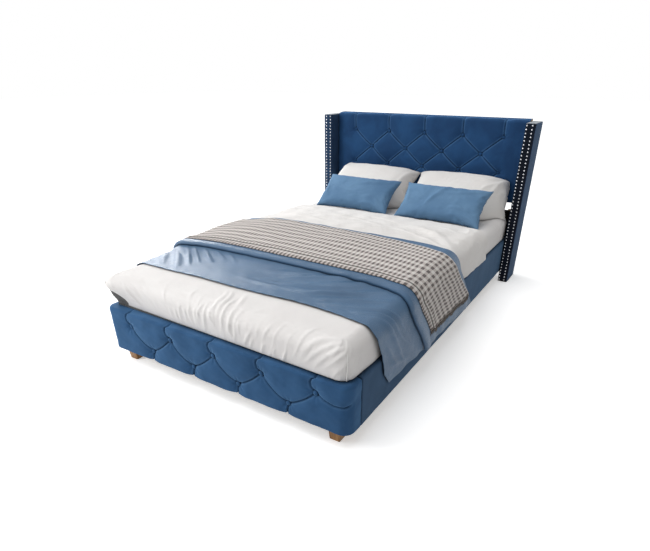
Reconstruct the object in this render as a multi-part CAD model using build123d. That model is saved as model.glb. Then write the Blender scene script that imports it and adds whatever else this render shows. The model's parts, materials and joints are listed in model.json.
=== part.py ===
from build123d import *
import math
import os

# Upholstered wing bed for one mattress, with its bedding.
# Lengths in millimetres. X runs across the bed, Y from the foot to the head, Z up.
# Pieces are drawn with Y = 0 at the front of the footboard and moved when they are saved,
# so that the origin is the middle of the footprint, on the floor.

# Driving sizes
mattress_width = 1200
mattress_length = 2000
mattress_height = 214
recess_depth = 69
mattress_gap = 1
clearance = 0.3
overrun = 5

# Boards, padding and cloth
board = 19
rail_padding = 10
cloth = 1
rail_bottom = 60
rail_height = 210
rail_flap = 60
rail_edge_radius = 10

# Footboard
footboard_pad_depth = 28
footboard_corner_radius = 45
footboard_edge_radius = 14
return_length = 45
footboard_upper_buttons = 5
footboard_lower_buttons = 4
footboard_button_spacing = 246
footboard_upper_row_drop = 72
footboard_row_pitch = 90
footboard_pleat_depth = 18
footboard_pleat_half_width = 46

# Headboard
headboard_pad_depth = 45
headboard_board = 18
batten_depth = 28
batten_width = 40
panel_bolt_shares = (0.15, 0.5, 0.85)
lower_bolt_shares = (0.2, 0.8)
panel_top = 954
panel_bottom = 479
panel_edge_radius = 20
headboard_button_rows = 4
headboard_long_row = 5
headboard_button_spacing = 253
headboard_top_row_drop = 101
headboard_row_pitch = 102
headboard_pleat_depth = 24
headboard_pleat_half_width = 46
lower_panel_top = 431
lower_panel_bottom = 110
panel_cloth = 1.5

# Covered buttons
button_radius = 11
button_height = 9
button_crown = 4
dimple_radius = 26
button_sides = 12
pleat_side_shares = ((0.1, 0.64), (0.32, 0.3), (0.62, 0.09))

# Wings
wing_gap = 1
wing_width = 60
wing_depth = 187
wing_top = 944
wing_cover = 6
wing_edge_radius = 4
glide_thickness = 3
glide_radius = 10
nail_radius = 5.5
nail_height = 3
nail_pitch = 19.9
nail_inset = 9.5
nail_column_pitch = 30.5
nail_sides = 6
nail_slope_share = 0.6
glide_shares = (0.2, 0.8)

# Bolts
bolt_diameter = 8
bolt_hole = 8.4
bolt_head_across = 13
bolt_head_height = 5.3
bolt_head_sides = 6
bolt_grip = 30
bolt_bite = 13.7
corner_bolt_shares = (0.3, 0.7)
bracket_bolt_shares = (0.25, 0.75)

# Slats and centre beam
slat_thickness = 15
slat_width = 70
slat_count = 14
slat_end_gap = 3
slat_inset = 10
ledge_size = 30
webbing_width = 25
webbing_thickness = 1.5
webbing_place_share = 0.58
beam_width = 30
beam_height = 50
steel = 3
tube_wall = 2
hanger_seat = 40
hanger_flange_width = 90
hanger_flange_height = 60
beam_leg_radius = 19
beam_leg_count = 3
beam_leg_plate = 60
cap_height = 20
cap_floor = 8
cap_wall = 3

# Corner fittings and feet
corner_block_width = 80
corner_block_length = 108
bracket_leg = 60
bracket_height = 80
bracket_drop = 5
foot_top = 55
foot_bottom = 45
foot_edge_radius = 4
foot_inset = 80
foot_setback = 57
stud_depth = 25

# Mattress and sheet
side_bulge = 24
foot_bulge = 12
bulge_lift = 4
plan_radius = 60
top_radius = 55
sheet_cloth = 1.2

# Duvet
duvet_front = 330
duvet_side = 15.5
duvet_loft = 50
duvet_shoulder_radius = 62
duvet_crown = 18
duvet_station_shares = (0.0, 0.05, 0.105, 0.195, 0.31, 0.43, 0.56, 0.755, 0.92, 1.0)
duvet_height_shares = (0.12, 0.46, 0.74, 0.9, 1.0, 0.93, 0.84, 0.64, 0.44, 0.3)

# Coverlet, folded back on itself, and the throw over it
coverlet_cloth = 3
layer_gap = 0.5
coverlet_front = 157
coverlet_rear = 937
coverlet_turn = 406
coverlet_hem_front = 137
coverlet_hem_rear = 108
coverlet_front_slant = 0.47
turn_front_slant = 0.77
coverlet_rear_slant = 1.08
fold_width = 8
side_fold_pitch = 54
side_fold_swell = 7
side_fold_shares = (0.0, 0.8, 0.15, 1.0, 0.3, 0.7, 0.05, 0.9, 0.25, 0.6)
shoulder_turns = (0.25, 0.5, 0.75)
crown_shares = (1.0, 0.75, 0.5, 0.25, 0.0)
throw_cloth = 4
throw_front = 435
throw_rear = 887
throw_hem = 190
throw_front_slant = 1.1
throw_rear_slant = 1.2
knee_drop = 30
tassel_length = 20
tassel_width = 5
tassel_pitch = 13
tassel_lift = 1

# Pillows and cushions
pillow_width = 606
pillow_length = 392
pillow_thickness = 180
pillow_lean = 30.5
pillow_spacing = 4
pillow_offset = 8
cushion_width = 514
cushion_length = 277
cushion_thickness = 110
cushion_lean = 39
cushion_offset = 26
cushion_spacing = 62
seam_thickness = 8
end_hollow = 12
pillow_station_shares = (-1.0, -0.86, -0.52, 0.0, 0.52, 0.86, 1.0)
pillow_thickness_shares = (0.1, 0.52, 0.88, 1.0, 0.88, 0.52, 0.1)
pillow_length_shares = (1.0, 0.965, 0.94, 0.93, 0.94, 0.965, 1.0)
settle_steps = 10

# Places worked out from the sizes
rail_thickness = board + 2 * rail_padding
rail_inner = mattress_width / 2
board_inner = rail_inner + rail_padding
board_outer = board_inner + board
rail_outer = board_outer + rail_padding
rail_top = rail_bottom + rail_height
board_top = rail_top - rail_padding
mattress_base = rail_top - recess_depth
mattress_top = mattress_base + mattress_height
footboard_depth = footboard_pad_depth + board + cloth
board_back = footboard_pad_depth + board
seam_y = board_back + return_length
mattress_front = footboard_depth
head_face = footboard_depth + mattress_length
panel_board_front = head_face + headboard_pad_depth
batten_front = panel_board_front + headboard_board
batten_back = batten_front + batten_depth
bed_back = batten_back + cloth
wing_inner = rail_outer + wing_gap
wing_outer = wing_inner + wing_width
wing_front = bed_back - wing_depth
slat_bottom = mattress_base - slat_thickness
sheet_top = mattress_top + clearance + sheet_cloth
bulge_base = rail_top + bulge_lift
front_y = -bed_back / 2

folder = "parts"
os.makedirs(folder, exist_ok=True)


def save(name, *solids):
    """Write one node, moved so that the origin is the middle of the footprint."""
    group = [Pos(0, front_y, 0) * solid for solid in solids]
    shape = group[0] if len(group) == 1 else Compound(children=group)
    export_step(shape, os.path.join(folder, name + ".step"))


def block(x, y, z):
    """A box given by its two limits along each axis."""
    size = (x[1] - x[0], y[1] - y[0], z[1] - z[0])
    middle = ((x[0] + x[1]) / 2, (y[0] + y[1]) / 2, (z[0] + z[1]) / 2)
    return Pos(*middle) * Box(*size)


def rod_x(radius, x0, x1, y, z):
    """A round bar along X."""
    bar = Cylinder(radius, abs(x1 - x0))
    return Pos((x0 + x1) / 2, y, z) * Rot(0, 90, 0) * bar


def rod_y(radius, y0, y1, x, z):
    """A round bar along Y."""
    bar = Cylinder(radius, abs(y1 - y0))
    return Pos(x, (y0 + y1) / 2, z) * Rot(90, 0, 0) * bar


def rod_z(radius, z0, z1, x, y):
    """An upright round bar."""
    return Pos(x, y, (z0 + z1) / 2) * Cylinder(radius, abs(z1 - z0))


# Tufting

def pleat(start, end, face_y, depth, half_width):
    """The space of one sewn pleat: a cusp between two swelling lobes, from start to end."""
    run = Vector(end[0] - start[0], 0, end[1] - start[1])
    along = run.normalized()
    across = Vector(-along.Z, 0, along.X)
    plane = Plane(origin=(start[0], face_y, start[1]), x_dir=across, z_dir=along)
    right = [(half_width * u, -depth * v) for u, v in pleat_side_shares]
    left = [(-u, v) for u, v in reversed(right)]
    outline = [(half_width, 0), (half_width, overrun), (-half_width, overrun), (-half_width, 0)]
    outline += left + [(0, -depth)] + right
    return extrude(plane * Polygon(*outline, align=None), amount=run.length)


def dimple(x, z, face_y, depth):
    """The hollow that a button is drawn into, with a flat floor for the button."""
    slope = (dimple_radius - button_radius) / depth
    mouth = dimple_radius + slope * overrun
    floor_radius = button_radius + cloth
    cone = Cone(mouth, floor_radius, depth + overrun)
    return Pos(x, face_y + (depth - overrun) / 2, z) * Rot(-90, 0, 0) * cone


def button(x, z, face_y, depth):
    """A covered button, seated on the floor of its dimple."""
    floor_plane = Plane(origin=(x, face_y + depth, z), x_dir=(1, 0, 0), z_dir=(0, -1, 0))
    rim = extrude(floor_plane * RegularPolygon(button_radius, button_sides), amount=button_height)
    crown_plane = floor_plane.offset(button_height)
    dome = extrude(
        crown_plane * RegularPolygon(button_radius, button_sides),
        amount=button_crown,
        taper=math.degrees(math.atan2(button_radius / 2, button_crown)),
    )
    return rim + dome


def diamond_rows(rows):
    """Pairs of buttons that a diagonal pleat joins, from one row to the next."""
    pairs = []
    for upper, lower in zip(rows, rows[1:]):
        reach = abs(upper[0][0] - lower[0][0]) + clearance
        for a in upper:
            pairs += [(a, b) for b in lower if abs(a[0] - b[0]) < reach]
    return pairs


def button_row(count, spacing, z):
    """Button places in one row, centred on the bed."""
    return [((i - (count - 1) / 2) * spacing, z) for i in range(count)]


def tufted(pad, pleats, buttons, face_y, depth, half_width):
    """Cut the pleats and the button dimples out of a plain pad."""
    cutters = [pleat(a, b, face_y, depth, half_width) for a, b in pleats]
    cutters += [dimple(x, z, face_y, depth + cloth) for x, z in buttons]
    return pad - cutters


# Footboard

upper_z = rail_top - footboard_upper_row_drop
lower_z = upper_z - footboard_row_pitch
footboard_rows = [
    button_row(footboard_upper_buttons, footboard_button_spacing, upper_z),
    button_row(footboard_lower_buttons, footboard_button_spacing, lower_z),
]


def footboard_plan(inset_front, inset_side, radius, back):
    """Plan outline of the footboard: straight front, round corners, short straight returns."""
    side = rail_outer - inset_side
    front = inset_front
    turn = Vector(side - radius, front + radius)
    knee = turn + Vector(radius, -radius) * math.sqrt(0.5)
    right_arc = ThreePointArc((turn.X, front), (knee.X, knee.Y), (side, turn.Y))
    left_arc = ThreePointArc((-side, turn.Y), (-knee.X, knee.Y), (-turn.X, front))
    edges = [
        Line((-turn.X, front), (turn.X, front)),
        right_arc,
        Line((side, turn.Y), (side, back)),
        Line((side, back), (-side, back)),
        Line((-side, back), (-side, turn.Y)),
        left_arc,
    ]
    return make_face(edges)


def footboard_board_solid():
    """The board behind the padding, with its outer corners rounded."""
    radius = footboard_corner_radius - footboard_pad_depth
    plan = footboard_plan(footboard_pad_depth, rail_padding, radius, board_back)
    return extrude(Pos(0, 0, rail_bottom) * plan, amount=board_top - rail_bottom)


def footboard_return(side):
    """The short board that turns the corner, as far as the seam."""
    x = sorted((side * board_inner, side * board_outer))
    return block(x, (board_back, seam_y), (rail_bottom, board_top))


def footboard_pleats():
    """Diagonals, curled pleats over the top edge, short ones below and the sagging end seams."""
    upper, lower = footboard_rows
    runs = list(diamond_rows(footboard_rows))
    curl_shares = ((0.0, 0.0), (-0.22, 0.35), (-0.1, 0.7), (0.12, 1.1))
    for x, z in upper:
        rise = footboard_upper_row_drop
        points = [(x + rise * u, z + rise * v) for u, v in curl_shares]
        runs += list(zip(points, points[1:]))
    for x, z in lower:
        runs.append(((x, z), (x, rail_bottom - overrun)))
    sag_shares = ((0.0, 0.0), (0.3, -0.12), (0.62, -0.16))
    reach = rail_outer - upper[-1][0]
    for side in (-1, 1):
        x, z = upper[-1]
        points = [(side * (x + reach * u), z + reach * v) for u, v in sag_shares]
        runs += list(zip(points, points[1:]))
    return runs


def footboard_pad(board_solid, returns):
    """Padding and velvet in one: a wrap with round corners, tufted on its front."""
    plan = footboard_plan(0, 0, footboard_corner_radius, seam_y)
    wrap = extrude(Pos(0, 0, rail_bottom) * plan, amount=rail_height)
    top_edges = wrap.edges().filter_by_position(Axis.Z, rail_top, rail_top)
    outer = [e for e in top_edges if e.center().Y < seam_y - clearance]
    wrap = fillet(outer, footboard_edge_radius)
    inside = block((-rail_inner, rail_inner), (footboard_depth, seam_y + overrun),
                   (rail_bottom - overrun, rail_top + overrun))
    below_flap = block((-board_inner, board_inner), (board_back, seam_y + overrun),
                       (rail_bottom - overrun, rail_top - rail_flap))
    wrap = wrap - [inside, below_flap, board_solid, *returns]
    buttons = footboard_rows[0] + footboard_rows[1]
    return tufted(wrap, footboard_pleats(), buttons, 0,
                  footboard_pleat_depth, footboard_pleat_half_width)


def footboard():
    """Board, returns, corner blocks, tufted pad and covered buttons."""
    board_solid = footboard_board_solid()
    returns = [footboard_return(side) for side in (-1, 1)]
    save("footboard_board", board_solid)
    save("footboard_return_left", returns[0])
    save("footboard_return_right", returns[1])
    save("footboard_pad", footboard_pad(board_solid, returns))
    depth = footboard_pleat_depth + cloth
    buttons = [button(x, z, 0, depth) for row in footboard_rows for x, z in row]
    save("footboard_buttons", *buttons)


# Side rails

def rail_board(side):
    """The load-bearing board of one side rail."""
    x = sorted((side * board_inner, side * board_outer))
    return block(x, (seam_y, head_face), (rail_bottom, board_top))


def rail_cover(side, board_solid):
    """Padding and velvet round the outside and top of the rail, with a flap down the inside."""
    x = sorted((side * rail_inner, side * rail_outer))
    wrap = block(x, (seam_y, head_face), (rail_bottom, rail_top))
    outer_edge = wrap.edges().filter_by(Axis.Y).group_by(Axis.Z)[-1].sort_by(Axis.X)
    wrap = fillet(outer_edge[-1 if side > 0 else 0], rail_edge_radius)
    inner_x = sorted((side * (rail_inner - overrun), side * board_inner))
    below_flap = block(inner_x, (seam_y - overrun, head_face + overrun),
                       (rail_bottom - overrun, rail_top - rail_flap))
    return wrap - [board_solid, below_flap]


def side_rails():
    """Both rails, their covers and the ledges that the slats rest on."""
    for side, name in ((-1, "left"), (1, "right")):
        board_solid = rail_board(side)
        for x, y, z in corner_bolt_places(side) + bracket_bolt_places(side):
            hole_end = x + side * (bolt_bite + clearance)
            board_solid -= rod_x(bolt_hole / 2, x - side * overrun, hole_end, y, z)
        save("rail_board_" + name, board_solid)
        save("rail_cover_" + name, rail_cover(side, rail_board(side)))
        ledge_x = sorted((side * (board_inner - ledge_size), side * board_inner))
        ledge_y = (board_back + corner_block_length, head_face)
        save("slat_ledge_" + name, block(ledge_x, ledge_y, (slat_bottom - ledge_size, slat_bottom)))


# Corner blocks, brackets and feet

def corner_bolt_places(side):
    """Where the corner block's bolts enter the rail board."""
    y = (seam_y + board_back + corner_block_length) / 2
    height = slat_bottom - rail_bottom
    return [(side * board_inner, y, rail_bottom + height * share) for share in corner_bolt_shares]


def bracket_bolt_places(side):
    """Where the head bracket's bolts enter the rail board."""
    y = head_face - bracket_leg / 2
    base = slat_bottom - ledge_size - bracket_drop - bracket_height
    return [(side * board_inner, y, base + bracket_height * share) for share in bracket_bolt_shares]


def bolt_x(x, y, z, side, length, tip_side):
    """A hexagon-head bolt along X: head against x, shank running towards tip_side."""
    shank = rod_x(bolt_diameter / 2, x, x + tip_side * length, y, z)
    plane = Plane(origin=(x, y, z), x_dir=(0, 1, 0), z_dir=(-tip_side, 0, 0))
    hexagon = RegularPolygon(bolt_head_across / 2, bolt_head_sides, major_radius=False)
    return shank + extrude(plane * hexagon, amount=bolt_head_height)


def corner_block(side):
    """Timber block inside the foot corner, drilled for its bolts and the foot's stud."""
    x = sorted((side * (board_inner - corner_block_width), side * board_inner))
    timber = block(x, (board_back, board_back + corner_block_length), (rail_bottom, slat_bottom))
    for _, y, z in corner_bolt_places(side):
        timber -= rod_x(bolt_hole / 2, x[0] - overrun, x[1] + overrun, y, z)
    stud_x = side * (rail_outer - foot_inset)
    hole_top = rail_bottom + stud_depth + clearance
    return timber - rod_z(bolt_hole / 2, rail_bottom - overrun, hole_top, stud_x, foot_setback)


def foot(side):
    """Tapered wooden foot under the corner."""
    top = Pos(0, 0, rail_bottom) * RectangleRounded(foot_top, foot_top, foot_edge_radius)
    base = RectangleRounded(foot_bottom, foot_bottom, foot_edge_radius)
    leg = loft([base, top], ruled=True)
    leg -= rod_z(bolt_hole / 2, rail_bottom - stud_depth - clearance, rail_bottom + overrun, 0, 0)
    return Pos(side * (rail_outer - foot_inset), foot_setback, 0) * leg


def head_bracket(side):
    """Steel angle between a rail's head end and the lower panel."""
    x_out = side * board_inner
    z0 = slat_bottom - ledge_size - bracket_drop - bracket_height
    z = (z0, z0 + bracket_height)
    along = block(sorted((x_out, x_out - side * steel)), (head_face - bracket_leg, head_face), z)
    across = block(sorted((x_out, x_out - side * bracket_leg)), (head_face - steel, head_face), z)
    angle = along + across
    for _, y, height in bracket_bolt_places(side):
        angle -= rod_x(bolt_hole / 2, x_out - side * 2 * steel, x_out + side * steel, y, height)
        x = x_out - side * bracket_leg / 2
        angle -= rod_y(bolt_hole / 2, head_face - 2 * steel, head_face + steel, x, height)
    return angle


def bolt_y(x, z, y, length):
    """A hexagon-head bolt along Y, its head against y and its shank towards the head."""
    shank = rod_y(bolt_diameter / 2, y, y + length, x, z)
    plane = Plane(origin=(x, y, z), x_dir=(1, 0, 0), z_dir=(0, -1, 0))
    hexagon = RegularPolygon(bolt_head_across / 2, bolt_head_sides, major_radius=False)
    return shank + extrude(plane * hexagon, amount=bolt_head_height)


def corners():
    """Corner blocks and feet at the foot, angles at the head, and every bolt between them."""
    bolts = []
    for side, name in ((-1, "left"), (1, "right")):
        save("corner_block_" + name, corner_block(side))
        save("foot_" + name, foot(side))
        save("head_bracket_" + name, head_bracket(side))
        for x, y, z in corner_bolt_places(side):
            length = corner_block_width + bolt_bite
            bolts.append(bolt_x(x - side * corner_block_width, y, z, side, length, side))
        for x, y, z in bracket_bolt_places(side):
            bolts.append(bolt_x(x - side * steel, y, z, side, steel + bolt_bite, side))
            across_x = x - side * bracket_leg / 2
            bolts.append(bolt_y(across_x, z, head_face - steel, steel + bolt_bite))
    save("frame_bolts", *bolts)
    studs = []
    for side in (-1, 1):
        x = side * (rail_outer - foot_inset)
        z = (rail_bottom - stud_depth, rail_bottom + stud_depth)
        studs.append(rod_z(bolt_diameter / 2, z[0], z[1], x, foot_setback))
    save("foot_studs", *studs)


# Slats and centre beam

def slats():
    """Flat slats across the bed and the two webbing straps that space them."""
    reach = board_inner - slat_end_gap
    pitch = (mattress_length - 2 * slat_inset - slat_width) / (slat_count - 1)
    first = mattress_front + slat_inset
    strips = []
    for i in range(slat_count):
        y = first + i * pitch
        strips.append(block((-reach, reach), (y, y + slat_width), (slat_bottom, mattress_base)))
    save("slats", *strips)
    straps = []
    for side in (-1, 1):
        x = side * reach * webbing_place_share
        strap_x = (x - webbing_width / 2, x + webbing_width / 2)
        strap_y = (first, first + pitch * (slat_count - 1) + slat_width)
        straps.append(block(strap_x, strap_y, (slat_bottom - webbing_thickness, slat_bottom)))
    save("slat_webbing", *straps)


def beam_hanger(face, facing):
    """Folded steel seat for one end of the beam. Facing is +1 when it opens to the head."""
    half = hanger_flange_width / 2
    top = slat_bottom - bracket_drop
    y = sorted((face, face + facing * steel))
    flange = block((-half, half), y, (slat_bottom - hanger_flange_height, top))
    seat_half = beam_width / 2 + clearance + steel
    seat_y = sorted((face, face + facing * hanger_seat))
    base = slat_bottom - beam_height
    seat = block((-seat_half, seat_half), seat_y, (base - steel, base + beam_height / 2))
    room_half = beam_width / 2 + clearance
    room_y = sorted((face + facing * steel, face + facing * (hanger_seat + overrun)))
    room = block((-room_half, room_half), room_y, (base, slat_bottom))
    return flange + seat - room


def centre_beam():
    """Steel tube under the slats, its hangers, its legs and the caps the legs stand on."""
    base = slat_bottom - beam_height
    start = board_back + steel
    end = head_face - steel
    half = beam_width / 2
    tube = block((-half, half), (start, end), (base, slat_bottom))
    inner = half - tube_wall
    tube -= block((-inner, inner), (start - overrun, end + overrun),
                  (base + tube_wall, slat_bottom - tube_wall))
    save("centre_beam", tube)
    save("beam_hanger_foot", beam_hanger(board_back, 1))
    save("beam_hanger_head", beam_hanger(head_face, -1))
    legs = []
    caps = []
    for i in range(beam_leg_count):
        y = mattress_front + mattress_length * (i + 1) / (beam_leg_count + 1)
        plate_half = beam_leg_plate / 2
        plate = block((-plate_half, plate_half), (y - plate_half, y + plate_half),
                      (base - steel, base))
        post = rod_z(beam_leg_radius, cap_floor, base - steel, 0, y)
        bore = rod_z(beam_leg_radius - tube_wall, cap_floor - overrun, base - steel, 0, y)
        legs.append(post - bore + plate)
        cup = rod_z(beam_leg_radius + cap_wall, 0, cap_height, 0, y)
        socket = rod_z(beam_leg_radius + clearance / 2, cap_floor, cap_height + overrun, 0, y)
        caps.append(cup - socket)
    save("beam_legs", *legs)
    save("beam_leg_caps", *caps)


# Headboard

headboard_top_row = panel_top - headboard_top_row_drop
headboard_rows = [
    button_row(
        headboard_long_row - i % 2,
        headboard_button_spacing,
        headboard_top_row - i * headboard_row_pitch,
    )
    for i in range(headboard_button_rows)
]
panel_height = panel_top - panel_bottom
lower_panel_height = lower_panel_top - lower_panel_bottom
panel_bolt_heights = [panel_bottom + panel_height * share for share in panel_bolt_shares]
lower_bolt_heights = [lower_panel_bottom + lower_panel_height * share for share in lower_bolt_shares]
upper_bolt_y = (batten_front + batten_back) / 2
lower_board_back = head_face + panel_cloth + board
cleat_front = lower_board_back + panel_cloth
cleat_back = cleat_front + batten_width
lower_bolt_y = (cleat_front + cleat_back) / 2


def headboard_pad():
    """Deep padding and velvet, drawn down to rows of buttons in a diamond pattern."""
    pad = block((-wing_inner, wing_inner), (head_face, panel_board_front), (panel_bottom, panel_top))
    front_edges = pad.edges().filter_by(Axis.X).group_by(Axis.Y)[0]
    pad = fillet(front_edges, panel_edge_radius)
    runs = list(diamond_rows(headboard_rows))
    for x, z in headboard_rows[0]:
        runs.append(((x, z), (x, panel_top + overrun)))
    for x, z in headboard_rows[-1]:
        runs.append(((x, z), (x, panel_bottom - overrun)))
    buttons = [place for row in headboard_rows for place in row]
    return tufted(pad, runs, buttons, head_face, headboard_pleat_depth, headboard_pleat_half_width)


def headboard_battens():
    """Timber frame on the back of the headboard's board, drilled for the wing bolts."""
    y = (batten_front, batten_back)
    inner_x = wing_inner - batten_width
    outer = block((-wing_inner, wing_inner), y, (panel_bottom, panel_top))
    bay_z = (panel_bottom + batten_width, panel_top - batten_width)
    half = batten_width / 2
    bay_y = (batten_front - overrun, batten_back + overrun)
    frame = outer - [
        block((half, inner_x), bay_y, bay_z),
        block((-inner_x, -half), bay_y, bay_z),
    ]
    for side in (-1, 1):
        for z in panel_bolt_heights:
            x = (side * (inner_x - overrun), side * (wing_inner + overrun))
            frame -= rod_x(bolt_hole / 2, x[0], x[1], upper_bolt_y, z)
    return frame


def lower_panel():
    """Black cloth sleeve round the board that closes the space between the wings."""
    core = block((-wing_inner, wing_inner), (head_face + panel_cloth, lower_board_back),
                 (lower_panel_bottom, lower_panel_top))
    sleeve = block((-wing_inner, wing_inner), (head_face, lower_board_back + panel_cloth),
                   (lower_panel_bottom - panel_cloth, lower_panel_top + panel_cloth)) - core
    for side in (-1, 1):
        for x, _, z in bracket_bolt_places(side):
            hole_x = x - side * bracket_leg / 2
            hole_end = head_face + bolt_bite + clearance
            hole = rod_y(bolt_hole / 2, head_face - overrun, hole_end, hole_x, z)
            core -= hole
            sleeve -= hole
    return core, sleeve


def lower_cleat(side):
    """Timber cleat behind the lower panel, bolted sideways into the wing."""
    x = sorted((side * (wing_inner - batten_width), side * wing_inner))
    timber = block(x, (cleat_front, cleat_back), (lower_panel_bottom, lower_panel_top))
    for z in lower_bolt_heights:
        timber -= rod_x(bolt_hole / 2, x[0] - overrun, x[1] + overrun, lower_bolt_y, z)
    return timber


def headboard():
    """Tufted upper panel, lower panel and the bolts that hold both between the wings."""
    save("headboard_pad", headboard_pad())
    depth = headboard_pleat_depth + cloth
    buttons = [button(x, z, head_face, depth) for row in headboard_rows for x, z in row]
    save("headboard_buttons", *buttons)
    panel_x = (-wing_inner, wing_inner)
    panel_z = (panel_bottom, panel_top)
    save("headboard_board", block(panel_x, (panel_board_front, batten_front), panel_z))
    save("headboard_battens", headboard_battens())
    save("headboard_back_cloth", block(panel_x, (batten_back, bed_back), panel_z))
    core, sleeve = lower_panel()
    save("lower_panel_board", core)
    save("lower_panel_cloth", sleeve)
    save("lower_panel_cleats", lower_cleat(-1), lower_cleat(1))
    length = batten_width + wing_cover + bolt_grip
    bolts = []
    for side in (-1, 1):
        x = side * (wing_inner - batten_width)
        bolts += [bolt_x(x, upper_bolt_y, z, side, length, side) for z in panel_bolt_heights]
        bolts += [bolt_x(x, lower_bolt_y, z, side, length, side) for z in lower_bolt_heights]
    save("wing_bolts", *bolts)


# Wings

def wing_holes(side):
    """Bolt holes into one wing."""
    x0 = side * (wing_inner - overrun)
    x1 = side * (wing_inner + wing_cover + bolt_grip + clearance)
    holes = [rod_x(bolt_hole / 2, x0, x1, upper_bolt_y, z) for z in panel_bolt_heights]
    holes += [rod_x(bolt_hole / 2, x0, x1, lower_bolt_y, z) for z in lower_bolt_heights]
    return holes


def wing(side):
    """Timber core and velvet cover of one wing."""
    x = sorted((side * wing_inner, side * wing_outer))
    outer = block(x, (wing_front, bed_back), (glide_thickness, wing_top))
    upright = outer.edges().filter_by(Axis.Z)
    top = outer.edges().group_by(Axis.Z)[-1]
    cover = fillet(upright + top, wing_edge_radius)
    core_x = (x[0] + wing_cover, x[1] - wing_cover)
    core_y = (wing_front + wing_cover, bed_back - wing_cover)
    core = block(core_x, core_y, (glide_thickness, wing_top - wing_cover))
    holes = wing_holes(side)
    return core - holes, cover - [core, *holes]


def nail(x, z):
    """One nailhead: a low pointed dome with flat facets."""
    plane = Plane(origin=(x, wing_front, z), x_dir=(1, 0, 0), z_dir=(0, -1, 0))
    slope = math.degrees(math.atan2(nail_radius * nail_slope_share, nail_height))
    return extrude(plane * RegularPolygon(nail_radius, nail_sides), amount=nail_height, taper=slope)


def wings():
    """Both wings, their glides and their nailheads."""
    for side, name in ((-1, "left"), (1, "right")):
        core, cover = wing(side)
        save("wing_core_" + name, core)
        save("wing_cover_" + name, cover)
        count = int((wing_top - glide_thickness - nail_pitch) / nail_pitch)
        start = (wing_top + glide_thickness - count * nail_pitch) / 2
        nails = []
        for column in range(2):
            x = side * (wing_inner + nail_inset + column * nail_column_pitch)
            nails += [nail(x, start + i * nail_pitch) for i in range(count + 1)]
        save("nailheads_" + name, *nails)
    glides = []
    for side in (-1, 1):
        x = side * (wing_inner + wing_outer) / 2
        for share in glide_shares:
            y = wing_front + wing_depth * share
            glides.append(rod_z(glide_radius, 0, glide_thickness, x, y))
    save("wing_glides", *glides)


# Mattress and sheet

def soft_block(grow):
    """The bulging upper part of the mattress, grown outwards all round by a cloth or a gap."""
    half = rail_inner + side_bulge + grow
    y = (mattress_front - foot_bulge - grow, head_face - sheet_cloth - 2 * clearance + grow)
    solid = block((-half, half), y, (bulge_base, mattress_top + grow))
    solid = fillet(solid.edges().filter_by(Axis.Z), plan_radius + grow)
    return fillet(solid.edges().group_by(Axis.Z)[-1], top_radius + grow)


def mattress():
    """Mattress in the recess, swelling over the rails, and the fitted sheet over its top."""
    upper = soft_block(0)
    half = rail_inner - mattress_gap
    y = (mattress_front + mattress_gap, head_face - sheet_cloth - 2 * clearance)
    lower = block((-half, half), y, (mattress_base, bulge_base + top_radius))
    lower = fillet(lower.edges().filter_by(Axis.Z), top_radius)
    save("mattress", upper + lower)
    save("fitted_sheet", soft_block(clearance + sheet_cloth) - soft_block(clearance))


# Pillows and cushions

def lens(x, length, thickness):
    """Cross-section of a pillow: two low arcs between short straight seams."""
    seam = seam_thickness / 2
    end = length / 2
    front = ThreePointArc((x, -end, seam), (x, 0, thickness / 2), (x, end, seam))
    back = ThreePointArc((x, end, -seam), (x, 0, -thickness / 2), (x, -end, -seam))
    edges = [front, Line((x, end, seam), (x, end, -seam)), back, Line((x, -end, -seam), (x, -end, seam))]
    return make_face(edges)


def pillow(width, length, thickness):
    """A crowned pillow whose four sides pull in between its corners."""
    sections = []
    shares = zip(pillow_station_shares, pillow_thickness_shares, pillow_length_shares)
    for station, thick, long in shares:
        swell = seam_thickness + (thickness - seam_thickness) * thick
        sections.append(lens(width / 2 * station, length * long, swell))
    form = loft(sections, ruled=True)
    hollow_radius = (length / 2) ** 2 / (2 * end_hollow) + end_hollow / 2
    for side in (-1, 1):
        x = side * (width / 2 + hollow_radius - end_hollow)
        form -= Pos(x, 0, 0) * Cylinder(hollow_radius, thickness)
    return form


def rest_on(piece, floor_z):
    """Lower a piece until it stands just clear of a level."""
    return Pos(0, 0, floor_z + clearance - piece.bounding_box().min.Z) * piece


def lean_on(piece, support):
    """Slide a piece towards the head until it is just clear of what it leans on."""
    for _ in range(settle_steps):
        piece = Pos(0, piece.distance_to(support) - 2 * clearance, 0) * piece
    return piece


def pillows():
    """White pillows against the headboard, with the blue cushions leaning on them."""
    front = []
    for side, name in ((-1, "left"), (1, "right")):
        x = side * (pillow_width + pillow_spacing) / 2 + pillow_offset
        white = pillow(pillow_width, pillow_length, pillow_thickness)
        white = rest_on(Pos(x, 0, 0) * Rot(pillow_lean, 0, 0) * white, sheet_top)
        white = Pos(0, head_face - 2 * clearance - white.bounding_box().max.Y, 0) * white
        save("pillow_white_" + name, white)
        x = side * (cushion_width + cushion_spacing) / 2 + cushion_offset
        blue = Rot(cushion_lean, 0, 0) * pillow(cushion_width, cushion_length, cushion_thickness)
        blue = Pos(x, white.bounding_box().min.Y - cushion_length, 0) * blue
        blue = lean_on(rest_on(blue, sheet_top), white)
        save("cushion_blue_" + name, blue)
        front.append(blue.bounding_box().min.Y)
    return min(front)


# Duvet, coverlet and throw

def arch(y, half, radius, shoulder, crown, low):
    """Points of one side of a draped section: hem, side, shoulder, crown and down again."""
    drop = shoulder - radius
    diagonal = radius * math.sqrt(0.5)
    turn = half - radius
    return {
        "hem": (half, y, low),
        "side": (half, y, drop),
        "bend": (turn + diagonal, y, drop + diagonal),
        "top": (turn, y, shoulder),
        "middle": (0, y, crown),
    }


def other(point):
    """The same point on the left side."""
    return (-point[0], point[1], point[2])


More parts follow.
